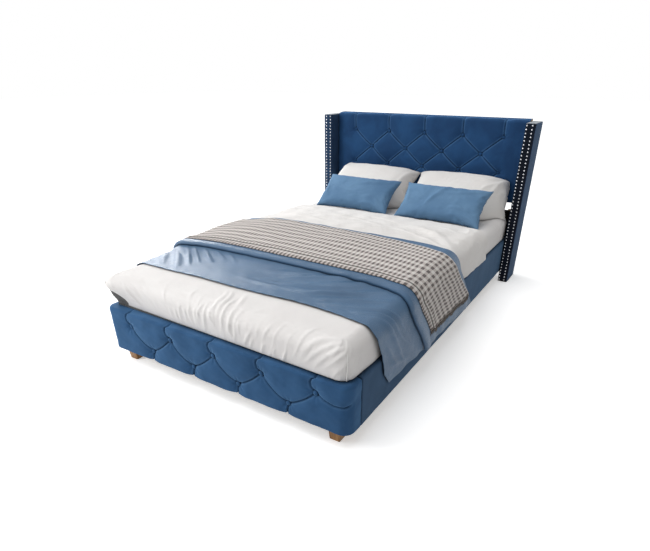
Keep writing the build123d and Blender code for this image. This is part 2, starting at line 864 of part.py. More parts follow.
def round_edges(y, half, radius, shoulder, crown, low):
    """Edges of a rounded arch, from the right hem over the top to the left hem."""
    p = arch(y, half, radius, shoulder, crown, low)
    return [
        Line(p["hem"], p["side"]),
        ThreePointArc(p["side"], p["bend"], p["top"]),
        ThreePointArc(p["top"], p["middle"], other(p["top"])),
        ThreePointArc(other(p["top"]), other(p["bend"]), other(p["side"])),
        Line(other(p["side"]), other(p["hem"])),
    ]


def flat_edges(y, half, radius, shoulder, crown, low):
    """The same arch in short straight runs, so that layers over each other stay parallel."""
    turn = half - radius
    drop = shoulder - radius
    points = [(half, y, low), (half, y, drop)]
    for share in shoulder_turns:
        angle = share * math.pi / 2
        points.append((turn + radius * math.cos(angle), y, drop + radius * math.sin(angle)))
    for share in crown_shares:
        points.append((turn * share, y, crown - (crown - shoulder) * share ** 2))
    points += [other(point) for point in reversed(points[:-1])]
    return [Line(a, b) for a, b in zip(points, points[1:])]


def band_section(inner_edges, outer_edges):
    """Closed section between two arches in the plane of one station."""
    ends = [
        Line(outer_edges[-1] @ 1, inner_edges[-1] @ 1),
        Line(inner_edges[0] @ 0, outer_edges[0] @ 0),
    ]
    return make_face(outer_edges + inner_edges + ends)


def duvet_stations(rear):
    """Places along the bed and the duvet's height over the sheet at each."""
    start = mattress_front + duvet_front
    length = rear - start
    pairs = zip(duvet_station_shares, duvet_height_shares)
    return [(start + length * u, duvet_loft * v) for u, v in pairs]


duvet_half = rail_inner + side_bulge + clearance + sheet_cloth + duvet_side
duvet_low = bulge_base + clearance


def crown_rise(height):
    """How much higher the middle of the bed stands than its shoulders where the duvet is this thick."""
    return duvet_crown * height / duvet_loft


def folded_stations(stations):
    """Closer stations, each with how far the folds down the sides swell out there."""
    places = [stations[0]]
    for (y0, height0), (y1, height1) in zip(stations, stations[1:]):
        steps = max(1, round((y1 - y0) / side_fold_pitch))
        for i in range(steps):
            share = (i + 1) / steps
            places.append((y0 + (y1 - y0) * share, height0 + (height1 - height0) * share))
    swells = [side_fold_swell * side_fold_shares[i % len(side_fold_shares)] for i in range(len(places))]
    return [(y, height, swell) for (y, height), swell in zip(places, swells)]


def draped(places, lift, thickness, low):
    """A layer that follows the duvet's outside, lifted off it, with folds down its sides."""
    sections = []
    for y, height, swell in places:
        arches = []
        for grow in (lift, lift + thickness):
            level = sheet_top + height + grow
            half = duvet_half + grow + swell
            radius = duvet_shoulder_radius + grow
            arches.append(flat_edges(y, half, radius, level, level + crown_rise(height), low))
        sections.append(band_section(*arches))
    return loft(sections, ruled=True)


def duvet(stations):
    """White duvet: thick in the middle, down both sides to the rails, thin at its two ends."""
    sections = []
    half = rail_inner + side_bulge + sheet_cloth + 2 * clearance
    radius = top_radius + sheet_cloth + 2 * clearance
    level = sheet_top + clearance
    for y, height in stations:
        inner = round_edges(y, half, radius, level, level + clearance, duvet_low)
        top = sheet_top + height
        outer = flat_edges(y, duvet_half, duvet_shoulder_radius, top, top + crown_rise(height), duvet_low)
        sections.append(band_section(inner, outer))
    save("duvet", loft(sections, ruled=True))


def side_outline(front, rear, front_slant, rear_slant, hem_front, hem_rear):
    """Outline seen from the side of a sheet whose hanging ends lean towards the head."""
    high = sheet_top + 2 * duvet_loft
    knee_front = sheet_top - knee_drop
    knee_rear = sheet_top + duvet_loft / 2 - knee_drop
    y0 = mattress_front + front
    y1 = mattress_front + rear
    points = [
        (y0, high),
        (y0, knee_front),
        (y0 + front_slant * (knee_front - hem_front), hem_front),
        (y1 + rear_slant * (knee_rear - hem_rear), hem_rear),
        (y1, knee_rear),
        (y1, high),
    ]
    reach = wing_outer
    face = Plane(origin=(-reach, 0, 0), x_dir=(0, 1, 0), z_dir=(1, 0, 0)) * Polygon(*points, align=None)
    return extrude(face, amount=2 * reach)


def bedding(rear):
    """Duvet, the coverlet folded back on itself, the throw and its tassels."""
    stations = duvet_stations(rear)
    duvet(stations)
    places = folded_stations([(mattress_front + coverlet_front, clearance)] + stations)
    low = coverlet_hem_rear - overrun
    first = layer_gap
    second = first + coverlet_cloth + layer_gap
    slants = (turn_front_slant, coverlet_rear_slant)
    hems = (coverlet_hem_front, coverlet_hem_rear)
    under = draped(places, first, coverlet_cloth, low) & side_outline(
        coverlet_front, coverlet_rear, coverlet_front_slant, coverlet_rear_slant, *hems)
    over = draped(places, second, coverlet_cloth, low) & side_outline(
        coverlet_turn, coverlet_rear, *slants, *hems)
    fold_front = coverlet_rear - fold_width
    fold = draped(places, first, second - first + coverlet_cloth, low) & side_outline(
        fold_front, coverlet_rear, coverlet_rear_slant, coverlet_rear_slant, *hems)
    save("coverlet", under + over + fold)
    third = second + coverlet_cloth + layer_gap
    later = [place for place in places if place[0] > stations[0][0] - clearance]
    outline = side_outline(throw_front, throw_rear, throw_front_slant, throw_rear_slant,
                           throw_hem, throw_hem)
    save("throw", draped(later, third, throw_cloth, low) & outline)
    for side, name in ((-1, "left"), (1, "right")):
        save("throw_tassels_" + name, *tassels(side, duvet_half + third, places))


def swell_at(y, places):
    """How far the side folds swell out at one place along the bed."""
    for (y0, _, swell0), (y1, _, swell1) in zip(places, places[1:]):
        if y0 <= y <= y1:
            return swell0 + (swell1 - swell0) * (y - y0) / (y1 - y0)
    return 0


def tassels(side, inner_x, places):
    """Short tassels along one hanging hem of the throw."""
    knee_front = sheet_top - knee_drop
    knee_rear = sheet_top + duvet_loft / 2 - knee_drop
    start = mattress_front + throw_front + throw_front_slant * (knee_front - throw_hem)
    end = mattress_front + throw_rear + throw_rear_slant * (knee_rear - throw_hem)
    count = int((end - start - tassel_width) / tassel_pitch)
    pitch = (end - start - tassel_width) / count
    pieces = []
    for i in range(count + 1):
        y = start + i * pitch
        near = inner_x + swell_at(y + tassel_width / 2, places)
        x = sorted((side * (near + tassel_lift), side * (near + throw_cloth)))
        pieces.append(block(x, (y, y + tassel_width), (throw_hem - tassel_length, throw_hem)))
    return pieces


footboard()
side_rails()
corners()
slats()
centre_beam()
headboard()
wings()
mattress()
bedding(pillows() - 2 * clearance)
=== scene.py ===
import json
import math

import bmesh
import bpy
import numpy as np
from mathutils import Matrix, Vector
from mathutils.bvhtree import BVHTree


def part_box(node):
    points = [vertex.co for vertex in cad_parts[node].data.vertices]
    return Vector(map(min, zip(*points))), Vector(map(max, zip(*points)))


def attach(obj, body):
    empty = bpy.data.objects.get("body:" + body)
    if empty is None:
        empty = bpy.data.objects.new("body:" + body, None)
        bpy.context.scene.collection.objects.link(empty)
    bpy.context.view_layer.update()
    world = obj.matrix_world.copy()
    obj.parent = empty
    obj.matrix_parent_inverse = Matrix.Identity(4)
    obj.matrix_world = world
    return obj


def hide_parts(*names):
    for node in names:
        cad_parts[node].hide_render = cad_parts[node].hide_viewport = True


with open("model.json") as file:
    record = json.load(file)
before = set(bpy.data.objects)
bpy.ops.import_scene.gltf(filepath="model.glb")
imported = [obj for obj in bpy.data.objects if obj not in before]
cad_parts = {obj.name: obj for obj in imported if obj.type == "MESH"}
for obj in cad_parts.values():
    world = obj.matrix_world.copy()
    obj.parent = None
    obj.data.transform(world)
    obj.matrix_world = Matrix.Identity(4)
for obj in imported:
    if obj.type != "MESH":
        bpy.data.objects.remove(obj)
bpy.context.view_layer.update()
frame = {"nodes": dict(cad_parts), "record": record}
nodes = frame["nodes"]

# Upholstered wing bed with its bedding, in metres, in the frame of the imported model:
# X across the bed, Y from the foot to the head, Z up.

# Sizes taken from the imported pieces
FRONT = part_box("footboard_pad")[0].y
RAIL_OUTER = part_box("footboard_pad")[1].x
RAIL_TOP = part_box("footboard_pad")[1].z
RAIL_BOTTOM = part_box("footboard_pad")[0].z
SEAM_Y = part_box("footboard_pad")[1].y
HEAD_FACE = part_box("headboard_pad")[0].y
PANEL_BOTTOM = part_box("headboard_pad")[0].z
PANEL_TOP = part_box("headboard_pad")[1].z
WING_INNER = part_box("wing_cover_right")[0].x
WING_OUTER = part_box("wing_cover_right")[1].x
WING_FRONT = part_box("wing_cover_right")[0].y
WING_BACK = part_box("wing_cover_right")[1].y
WING_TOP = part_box("wing_cover_right")[1].z
WING_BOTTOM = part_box("wing_cover_right")[0].z
SHEET_LOW, SHEET_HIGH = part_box("fitted_sheet")
MATTRESS_LOW, MATTRESS_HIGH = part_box("mattress")
DUVET_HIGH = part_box("duvet")[1]
SHEET_TOP = SHEET_HIGH.z

SIDES = ((-1, "left"), (1, "right"))

rng = np.random.default_rng(7)


# Meshes

def add_object(name, mesh, body, *replaced):
    """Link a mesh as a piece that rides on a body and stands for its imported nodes."""
    obj = bpy.data.objects.new(name, mesh)
    bpy.context.scene.collection.objects.link(obj)
    mesh.shade_smooth()
    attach(obj, body)
    if replaced:
        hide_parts(*replaced)
    return obj


def quads(rows, columns, wrap_rows=False, wrap_columns=False, first=0):
    """Quad indices over a grid whose points are stored row by row."""
    index = first + np.arange(rows * columns).reshape(rows, columns)
    if wrap_rows:
        index = np.vstack([index, index[:1]])
    if wrap_columns:
        index = np.hstack([index, index[:, :1]])
    a, b = index[:-1, :-1], index[:-1, 1:]
    c, d = index[1:, 1:], index[1:, :-1]
    return np.stack([a, b, c, d], axis=-1).reshape(-1, 4).tolist()


def new_mesh(name, verts, faces):
    """A checked mesh from points and faces."""
    mesh = bpy.data.meshes.new(name)
    mesh.from_pydata(verts, [], faces)
    mesh.validate()
    return mesh


def grid_mesh(name, points, wrap_rows=False, wrap_columns=False, flat=None, caps=False):
    """A mesh over a grid of points, with the cloth's flat coordinates where they are given."""
    rows, columns = points.shape[:2]
    faces = quads(rows, columns, wrap_rows, wrap_columns)
    if caps:
        ring = np.arange(rows * columns).reshape(rows, columns)
        first, last = (ring[:, 0], ring[:, -1]) if wrap_rows else (ring[0], ring[-1])
        faces.append(first[::-1].tolist())
        faces.append(last.tolist())
    mesh = new_mesh(name, points.reshape(-1, 3).tolist(), faces)
    if flat is not None:
        store_flat(mesh, flat.reshape(-1, 2))
    return mesh


def store_flat(mesh, flat):
    """Keep the cloth's flat coordinates on its points, for the weave and the check."""
    layer = mesh.attributes.new("flat", "FLOAT_VECTOR", "POINT")
    values = np.zeros((len(flat), 3), np.float32)
    values[:, :2] = flat
    layer.data.foreach_set("vector", values.ravel())


def store_pleat_highlight(mesh, lips, strength):
    """Keep a painted highlight beside the pleats, where their raised lips catch the light, for the velvet.
    """
    layer = mesh.attributes.new("pile", "FLOAT", "POINT")
    values = np.zeros(len(mesh.vertices), np.float32)
    values[:lips.size] = strength * lips.ravel()
    layer.data.foreach_set("value", values)


def mend(mesh, closed_above=None, join=None):
    """Turn the faces outwards, after closing the rings above a level or joining points that meet."""
    bm = bmesh.new()
    bm.from_mesh(mesh)
    if closed_above is not None:
        rings = [e for e in bm.edges if e.is_boundary and e.verts[0].co.z > closed_above]
        bmesh.ops.holes_fill(bm, edges=rings)
    if join is not None:
        bmesh.ops.remove_doubles(bm, verts=bm.verts, dist=join)
    bmesh.ops.recalc_face_normals(bm, faces=bm.faces)
    bm.to_mesh(mesh)
    bm.free()
    mesh.shade_smooth()


def solidify(obj, thickness, offset=1.0):
    """Give a cloth its thickness: outwards, or to both sides with an offset of 0."""
    mod = obj.modifiers.new("thickness", "SOLIDIFY")
    mod.thickness = thickness
    mod.offset = offset
    mod.use_rim = True


# Fields over flat coordinates

def segment_distance(px, py, a, b):
    """Distance of points from a segment, and how far along it the nearest place is."""
    dx, dy = b[0] - a[0], b[1] - a[1]
    t = ((px - a[0]) * dx + (py - a[1]) * dy) / (dx * dx + dy * dy)
    t = np.clip(t, 0, 1)
    return np.hypot(px - a[0] - t * dx, py - a[1] - t * dy), t


def curve_points(start, middle, end, steps=8):
    """Points on a curve from start to end that passes near middle."""
    t = np.linspace(0, 1, steps + 1)[:, None]
    start, middle, end = np.array(start), np.array(middle), np.array(end)
    bend = 2 * middle - (start + end) / 2
    return (1 - t) ** 2 * start + 2 * t * (1 - t) * bend + t ** 2 * end


def path_distance(px, py, path):
    """Distance of points from a path, and the share of the path passed there."""
    best = np.full(px.shape, np.inf)
    share = np.zeros(px.shape)
    count = len(path) - 1
    for i in range(count):
        d, t = segment_distance(px, py, path[i], path[i + 1])
        nearer = d < best
        best = np.where(nearer, d, best)
        share = np.where(nearer, (i + t) / count, share)
    return best, share


def creases(px, py, strokes):
    """Sum of soft ridges. A stroke is start, middle, end, half-width and height."""
    height = np.zeros(px.shape)
    for start, middle, end, width, rise in strokes:
        d, s = path_distance(px, py, curve_points(start, middle, end))
        height += rise * np.exp(-(d / width) ** 2) * np.sin(np.pi * np.clip(s, 0.02, 0.98)) ** 0.6
    return height


def waves(px, py, size, seed, octaves=3):
    """Smooth rolling noise of about unit height, made of a few crossing waves."""
    local = np.random.default_rng(seed)
    total = np.zeros(px.shape)
    gain = 1.0
    for octave in range(octaves):
        for _ in range(5):
            angle = local.uniform(0, 2 * math.pi)
            phase = local.uniform(0, 2 * math.pi)
            k = 2 * math.pi / (size / 1.9 ** octave) * local.uniform(0.7, 1.3)
            total += gain * np.sin(k * (px * math.cos(angle) + py * math.sin(angle)) + phase)
        gain *= 0.55
    return total / 4


def smoothstep(x, low, high):
    """Rises from 0 at low to 1 at high."""
    t = np.clip((x - low) / (high - low), 0, 1)
    return t * t * (3 - 2 * t)


# Materials

# One check of the throw, across and along the bed, and two yarns of its weave
CHECK = (0.0205, 0.047)
YARN = 0.0028


def new_material(name, roughness=0.85, sheen=0.0, sheen_roughness=0.5, tint=(1, 1, 1), metallic=0.0,
                 specular=0.5):
    """A material with its constants set on the shader's own sockets."""
    mat = bpy.data.materials.new(name)
    mat.use_nodes = True
    shader = mat.node_tree.nodes["Principled BSDF"]
    shader.inputs["Roughness"].default_value = roughness
    shader.inputs["Metallic"].default_value = metallic
    shader.inputs["Specular IOR Level"].default_value = specular
    shader.inputs["Sheen Weight"].default_value = sheen
    shader.inputs["Sheen Roughness"].default_value = sheen_roughness
    shader.inputs["Sheen Tint"].default_value = (*tint, 1)
    return mat, mat.node_tree, shader


def node(tree, kind, **values):
    """A node with its properties or unlinked inputs set by name."""
    made = tree.nodes.new(kind)
    for key, value in values.items():
        if hasattr(made, key):
            setattr(made, key, value)
        else:
            made.inputs[key.replace("_", " ")].default_value = value
    return made


def mix(tree, factor, a, b):
    """Colour between a and b. Each is a colour or a socket."""
    made = tree.nodes.new("ShaderNodeMix")
    made.data_type = "RGBA"
    tree.links.new(factor, made.inputs[0])
    for socket, value in ((made.inputs[6], a), (made.inputs[7], b)):
        if isinstance(value, tuple):
            socket.default_value = (*value, 1)
        else:
            tree.links.new(value, socket)
    return made.outputs[2]


def ramp(tree, source, low, high):
    """A share from 0 at low to 1 at high."""
    made = tree.nodes.new("ShaderNodeMapRange")
    made.interpolation_type = "SMOOTHSTEP"
    made.inputs["From Min"].default_value = low
    made.inputs["From Max"].default_value = high
    tree.links.new(source, made.inputs["Value"])
    return made.outputs["Result"]


def noise(tree, place, scale, detail=3.0, distortion=0.0):
    """Noise at a scale, in cells for each metre."""
    made = node(tree, "ShaderNodeTexNoise", Scale=scale, Detail=detail, Distortion=distortion)
    tree.links.new(place, made.inputs["Vector"])
    return made.outputs["Fac"]


def math_node(tree, operation, a, b=None):
    """One sum. Each side is a number or a socket."""
    made = tree.nodes.new("ShaderNodeMath")
    made.operation = operation
    for socket, value in zip(made.inputs, (a, b)):
        if value is None:
            continue
        if isinstance(value, (int, float)):
            socket.default_value = value
        else:
            tree.links.new(value, socket)
    return made.outputs[0]


def bump(tree, shader, height, strength, distance):
    """Feed a height into the shader's normal."""
    made = node(tree, "ShaderNodeBump", Strength=strength, Distance=distance)
    tree.links.new(height, made.inputs["Height"])
    tree.links.new(made.outputs["Normal"], shader.inputs["Normal"])


def object_place(tree):
    """A socket with each point's place on its piece."""
    return tree.nodes.new("ShaderNodeTexCoord").outputs["Object"]


def flat_place(tree):
    """A socket with each point's place on the flat cloth."""
    return node(tree, "ShaderNodeAttribute", attribute_name="flat").outputs["Vector"]


def sine(tree, source, period):
    """A wave over one direction, with a period in metres."""
    return math_node(tree, "SINE", math_node(tree, "MULTIPLY", source, 2 * math.pi / period))


def thread_product(tree, split, period):
    """Crossing threads: the product of a wave each way."""
    over = sine(tree, split.outputs[0], period)
    under = sine(tree, split.outputs[1], period)
    return math_node(tree, "MULTIPLY", over, under)


def shaded(tree, colour, reach, depth):
    """A colour that darkens in creases and under edges, where little light gets in."""
    made = tree.nodes.new("ShaderNodeAmbientOcclusion")
    made.samples = 8
    made.inputs["Distance"].default_value = reach
    dark = mix(tree, math_node(tree, "ADD", 0.0, depth), colour, (0.0, 0.0, 0.0))
    return mix(tree, ramp(tree, made.outputs["AO"], 0.15, 0.95), dark, colour)


def velvet(name, deep, bright, lit, pile=9.0):
    """Short-pile velvet: mottled, with a painted sheen where it turns away, a painted highlight beside
    each pleat, painted shade in creases, and fine nap.
    """
    mat, tree, shader = new_material(name, roughness=0.8, sheen=0.35, sheen_roughness=0.35, tint=lit,
                                     specular=0.15)
    place = object_place(tree)
    sweep = ramp(tree, noise(tree, place, pile, 4, 0.6), 0.35, 0.68)
    body = mix(tree, sweep, deep, bright)
    grain = ramp(tree, noise(tree, place, 420, 2), 0.3, 0.75)
    body = mix(tree, math_node(tree, "MULTIPLY", grain, 0.18), body, deep)
    # Painted highlight beside the pleats, read from the attribute called pile
    pleat_highlight = node(tree, "ShaderNodeAttribute", attribute_name="pile").outputs["Fac"]
    body = mix(tree, math_node(tree, "MULTIPLY", pleat_highlight, 0.55), body, lit)
    # Painted sheen: the colour turns towards the lit colour where the surface turns away from the view
    rim = tree.nodes.new("ShaderNodeLayerWeight")
    rim.inputs["Blend"].default_value = 0.35
    edge = math_node(tree, "POWER", rim.outputs["Facing"], 2.2)
    # Painted shade in creases and under edges, laid over the painted sheen
    body = shaded(tree, mix(tree, edge, body, lit), reach=0.022, depth=0.85)
    tree.links.new(body, shader.inputs["Base Color"])
    nap = math_node(tree, "ADD", noise(tree, place, 900, 2), noise(tree, place, 160, 3))
    bump(tree, shader, nap, strength=0.25, distance=0.0006)
    return mat


def cotton(name, base, shade, flat=True, weave=0.0011, satin=False, wrinkle=0.35, depth=0.3):
    """Woven bed linen: a plain weave too fine to see from afar, and soft small crumples."""
    mat, tree, shader = new_material(name, roughness=0.39 if satin else 0.8, sheen=0.15,
                                     sheen_roughness=0.5, tint=base, specular=0.4 if satin else 0.2)
    place = object_place(tree)
    tone = ramp(tree, noise(tree, place, 5, 4), 0.3, 0.7)
    # Painted shade in creases and under edges, as deep as the depth given
    tree.links.new(shaded(tree, mix(tree, tone, base, shade), 0.03, depth), shader.inputs["Base Color"])
    if flat:
        place = flat_place(tree)
    split = tree.nodes.new("ShaderNodeSeparateXYZ")
    tree.links.new(place, split.inputs[0])
    threads = math_node(tree, "MULTIPLY", thread_product(tree, split, weave), 0.06)
    crumple = math_node(tree, "MULTIPLY", noise(tree, place, 38, 5, 0.8), wrinkle)
    bump(tree, shader, math_node(tree, "ADD", threads, crumple), strength=0.5, distance=0.004)
    return mat


def gingham(name, pale, middle, dark, size):
    """Woven check: bands of dark thread each way, darkest where they cross."""
    mat, tree, shader = new_material(name, roughness=0.95, sheen=0.2, sheen_roughness=0.6,
                                     tint=(0.8, 0.78, 0.75), specular=0.1)
    place = flat_place(tree)
    split = tree.nodes.new("ShaderNodeSeparateXYZ")
    tree.links.new(place, split.inputs[0])
    wander = math_node(tree, "MULTIPLY", noise(tree, object_place(tree), 14, 2), size[0] * 0.35)
    bands = []
    for axis in (0, 1):
        shifted = math_node(tree, "ADD", split.outputs[axis], wander)
        bands.append(ramp(tree, sine(tree, shifted, size[axis]), -0.2, 0.2))
    either = math_node(tree, "MAXIMUM", bands[0], bands[1])
    both = math_node(tree, "MULTIPLY", bands[0], bands[1])
    cloth = mix(tree, either, pale, middle)
    cloth = mix(tree, both, cloth, dark)
    fleck = ramp(tree, noise(tree, place, 700, 2), 0.35, 0.65)
    cloth = mix(tree, math_node(tree, "MULTIPLY", fleck, 0.25), cloth, middle)
    # Painted shade in creases and under the folds
    tree.links.new(shaded(tree, cloth, reach=0.02, depth=0.75), shader.inputs["Base Color"])
    bump(tree, shader, thread_product(tree, split, YARN), strength=0.6, distance=0.0012)
    return mat


def timber(name, pale, dark, gloss=0.45, axis=2, rings=28):
    """Planed wood with straight grain along one axis."""
    mat, tree, shader = new_material(name, roughness=gloss, specular=0.4)
    place = object_place(tree)
    stretch = tree.nodes.new("ShaderNodeMapping")
    scale = [rings, rings, rings]
    scale[axis] = rings * 0.06
    stretch.inputs["Scale"].default_value = scale
    tree.links.new(place, stretch.inputs["Vector"])
    grain = noise(tree, stretch.outputs["Vector"], 3.5, 6, 0.8)
    tree.links.new(mix(tree, ramp(tree, grain, 0.35, 0.65), pale, dark), shader.inputs["Base Color"])
    bump(tree, shader, grain, strength=0.2, distance=0.0008)
    return mat


def metal(name, colour, roughness, scratch=0.06, metallic=1.0):
    """Plated or painted steel with faint uneven gloss."""
    mat, tree, shader = new_material(name, roughness=roughness, metallic=metallic)
    place = object_place(tree)
    wear = noise(tree, place, 90, 4)
    dull = tuple(c * 0.8 for c in colour)
    tree.links.new(mix(tree, ramp(tree, wear, 0.3, 0.7), dull, colour), shader.inputs["Base Color"])
    rough = tree.nodes.new("ShaderNodeMapRange")
    rough.inputs["To Min"].default_value = max(0.02, roughness - scratch)
    rough.inputs["To Max"].default_value = roughness + scratch
    tree.links.new(wear, rough.inputs["Value"])
    tree.links.new(rough.outputs["Result"], shader.inputs["Roughness"])
    return mat


def plain_cloth(name, colour, pale):
    """Thin woven backing cloth."""
    mat, tree, shader = new_material(name, roughness=0.95, specular=0.1)
    place = object_place(tree)
    tree.links.new(mix(tree, ramp(tree, noise(tree, place, 350, 3), 0.3, 0.8), colour, pale),
                   shader.inputs["Base Color"])
    bump(tree, shader, noise(tree, place, 600, 2), strength=0.3, distance=0.0005)
    return mat


headboard_velvet = velvet("headboard_velvet", (0.015, 0.056, 0.150), (0.021, 0.080, 0.205),
                          (0.08, 0.2, 0.4), pile=6.0)
footboard_velvet = velvet("footboard_velvet", (0.023, 0.074, 0.170), (0.034, 0.101, 0.222),
                          (0.11, 0.24, 0.42))
rail_velvet = velvet("rail_velvet", (0.029, 0.063, 0.122), (0.038, 0.080, 0.152), (0.09, 0.17, 0.28))
wing_velvet = velvet("wing_velvet", (0.016, 0.038, 0.084), (0.024, 0.054, 0.115), (0.06, 0.11, 0.19))
# Painted sheen: a pale velvet for the wings' upward faces, where they catch the light
wing_top_painted_sheen = velvet("wing_top_painted_sheen", (0.25, 0.27, 0.29), (0.34, 0.36, 0.38), (0.4, 0.43, 0.46))
band_velvet = velvet("band_velvet", (0.002, 0.004, 0.010), (0.004, 0.008, 0.018), (0.006, 0.011, 0.022))
sheet_cotton = cotton("sheet_cotton", (0.86, 0.84, 0.825), (0.83, 0.805, 0.79))
duvet_cotton = cotton("duvet_cotton", (0.86, 0.84, 0.82), (0.82, 0.795, 0.77))
seam_cotton = cotton("seam_cotton", (0.93, 0.92, 0.9), (0.9, 0.88, 0.86), flat=False)
pillow_cotton = cotton("pillow_cotton", (0.87, 0.85, 0.825), (0.83, 0.8, 0.77), flat=False)
coverlet_satin = cotton("coverlet_satin", (0.076, 0.156, 0.272), (0.060, 0.130, 0.232), satin=True,
                        wrinkle=0.12, depth=0.85)
cushion_cloth = cotton("cushion_cloth", (0.145, 0.272, 0.435), (0.098, 0.200, 0.345), flat=False,
                       wrinkle=0.42, depth=0.75)
check_weave = gingham("check_weave", (0.90, 0.87, 0.84), (0.66, 0.60, 0.57), (0.11, 0.09, 0.085),
                      CHECK)
fringe_yarn = plain_cloth("fringe_yarn", (0.05, 0.042, 0.038), (0.42, 0.37, 0.33))
mattress_knit = plain_cloth("mattress_knit", (0.09, 0.09, 0.09), (0.2, 0.195, 0.19))
black_cloth = plain_cloth("black_cloth", (0.006, 0.006, 0.007), (0.016, 0.016, 0.018))
foot_wood = timber("foot_wood", (0.42, 0.22, 0.08), (0.22, 0.1, 0.03))
frame_timber = timber("frame_timber", (0.62, 0.46, 0.28), (0.5, 0.35, 0.2), gloss=0.7)
slat_wood = timber("slat_wood", (0.66, 0.52, 0.34), (0.55, 0.41, 0.25), gloss=0.5, axis=0)
board_wood = timber("board_wood", (0.55, 0.42, 0.28), (0.45, 0.33, 0.21), gloss=0.8, axis=1)
black_steel = metal("black_steel", (0.02, 0.02, 0.02), 0.45, metallic=0.4)
zinc_steel = metal("zinc_steel", (0.55, 0.55, 0.53), 0.35)
nickel = metal("nickel", (0.66, 0.67, 0.70), 0.26)
black_plastic = metal("black_plastic", (0.02, 0.02, 0.02), 0.6, metallic=0.0)


# Camera of the photograph

def camera():
    """The camera fitted to the bed's edges in the photograph."""
    data = bpy.data.cameras.new("camera")
    data.sensor_width = 36.0
    data.lens = 26.715
    data.shift_x = -0.00581
    data.shift_y = 0.10742
    data.clip_start = 0.05
    obj = bpy.data.objects.new("camera", data)
    obj.location = (1.2752, -2.2222, 1.1780)
    obj.rotation_euler = (math.radians(60.759), 0.0, math.radians(31.965))
    bpy.context.scene.collection.objects.link(obj)
    bpy.context.scene.camera = obj


camera()


# Tufted padding

def cusp(distance, reach):
    """Round lobes that meet in a sharp crease: 1 in the crease, 0 a reach away."""
    s = np.clip(1 - distance / reach, 0, 1)
    return 1 - np.sqrt(1 - s * s)


# Pleats and buttons of the tufting: half-widths, depths and distances
GROOVE_HALF = 0.0034
GROOVE_DEPTH = 0.0036
LIP_OFFSET = 0.0060
LIP_HALF = 0.0036
LIP_RISE = 0.0012
BUTTON_PULL = 0.035
DIMPLE_HALF = 0.014
PUCKERS = 9
PUCKER_RADIUS = 0.026
PUCKER_HALF = 0.013
PUCKER_DEPTH = 0.0009


def tufting(px, pz, pleats, buttons, reach, crease, dimple):
    """Depth of the tufting under its plain face, and how near each place is to a pleat's lips."""
    near = np.full(px.shape, np.inf)
    for bx, bz in buttons:
        near = np.minimum(near, np.hypot(px - bx, pz - bz))
    keep = np.ones(px.shape)
    groove, lips = np.zeros(px.shape), np.zeros(px.shape)
    for path in pleats:
        d = path_distance(px, pz, path)[0]
        strength = 0.66 + 0.34 * np.exp(-near / BUTTON_PULL)
        keep *= 1 - strength * cusp(d, reach)
        groove = np.maximum(groove, np.exp(-(d / GROOVE_HALF) ** 2))
        lips = np.maximum(lips, np.exp(-((d - LIP_OFFSET) / LIP_HALF) ** 2))
    depth = np.maximum(crease * (1 - keep) + GROOVE_DEPTH * groove - LIP_RISE * lips, 0.0)
    depth += dimple * np.exp(-(near / DIMPLE_HALF) ** 2)
    for bx, bz in buttons:
        angle = np.arctan2(pz - bz, px - bx)
        r = np.hypot(px - bx, pz - bz)
        pucker = np.cos(angle * PUCKERS + bx * 40) * np.exp(-((r - PUCKER_RADIUS) / PUCKER_HALF) ** 2)
        depth += PUCKER_DEPTH * pucker
    return depth, lips


def button_row(count, spacing, z):
    """Button places in one row, centred on the bed."""
    return [((i - (count - 1) / 2) * spacing, z) for i in range(count)]


def diagonals(rows):
    """Pairs of neighbouring buttons from one row to the next."""
    pairs = []
    for upper, lower in zip(rows, rows[1:]):
        reach = abs(upper[0][0] - lower[0][0]) + 0.001
        pairs += [(a, b) for a in upper for b in lower if abs(a[0] - b[0]) < reach]
    return pairs


def dome(verts, faces, centre, radius, height, rings, steps, pointed):
    """Add one dome that stands out towards the foot: its rings, its top and its flat base."""
    x, seat, z = centre
    first = len(verts)
    for scale, rise in rings:
        r = radius * scale
        for k in range(steps):
            angle = 2 * math.pi * k / steps
            verts.append((x + r * math.cos(angle), seat - height * rise, z + r * math.sin(angle)))
    faces += quads(len(rings), steps, wrap_columns=True, first=first)
    top = first + (len(rings) - 1) * steps
    if pointed:
        verts.append((x, seat - height, z))
        faces += [(top + k, top + (k + 1) % steps, len(verts) - 1) for k in range(steps)]
    else:
        faces.append(tuple(top + k for k in range(steps)))
    faces.append(tuple(first + k for k in reversed(range(steps))))


def button_mesh(name, places, seat):
    """Covered buttons: flattened domes with a rolled rim, seated in their dimples."""
    rings = [(1.0, -0.35), (1.02, 0.0), (0.97, 0.3), (0.82, 0.62), (0.55, 0.85), (0.25, 0.95)]
    verts, faces = [], []
    for x, z in places:
        dome(verts, faces, (x, seat, z), BUTTON_RADIUS, BUTTON_RISE, rings, steps=20, pointed=True)
    return new_mesh(name, verts, faces)


BUTTON_RADIUS = 0.0115
BUTTON_RISE = 0.009
END_TUCK = 0.004

# Headboard pad
HEAD_SPACING = 0.253
HEAD_PITCH = 0.102
HEAD_CELLS = (64, 32)
HEAD_TOP_ROW = PANEL_TOP - 0.101
HEAD_LOBE = 0.075
HEAD_CREASE = 0.021
HEAD_DIMPLE = 0.007
HEAD_EDGE = 0.020
HEAD_SEAT = 0.004
HEAD_WAVE = 0.0012
head_rows = [button_row(5 - i % 2, HEAD_SPACING, HEAD_TOP_ROW - i * HEAD_PITCH) for i in range(4)]


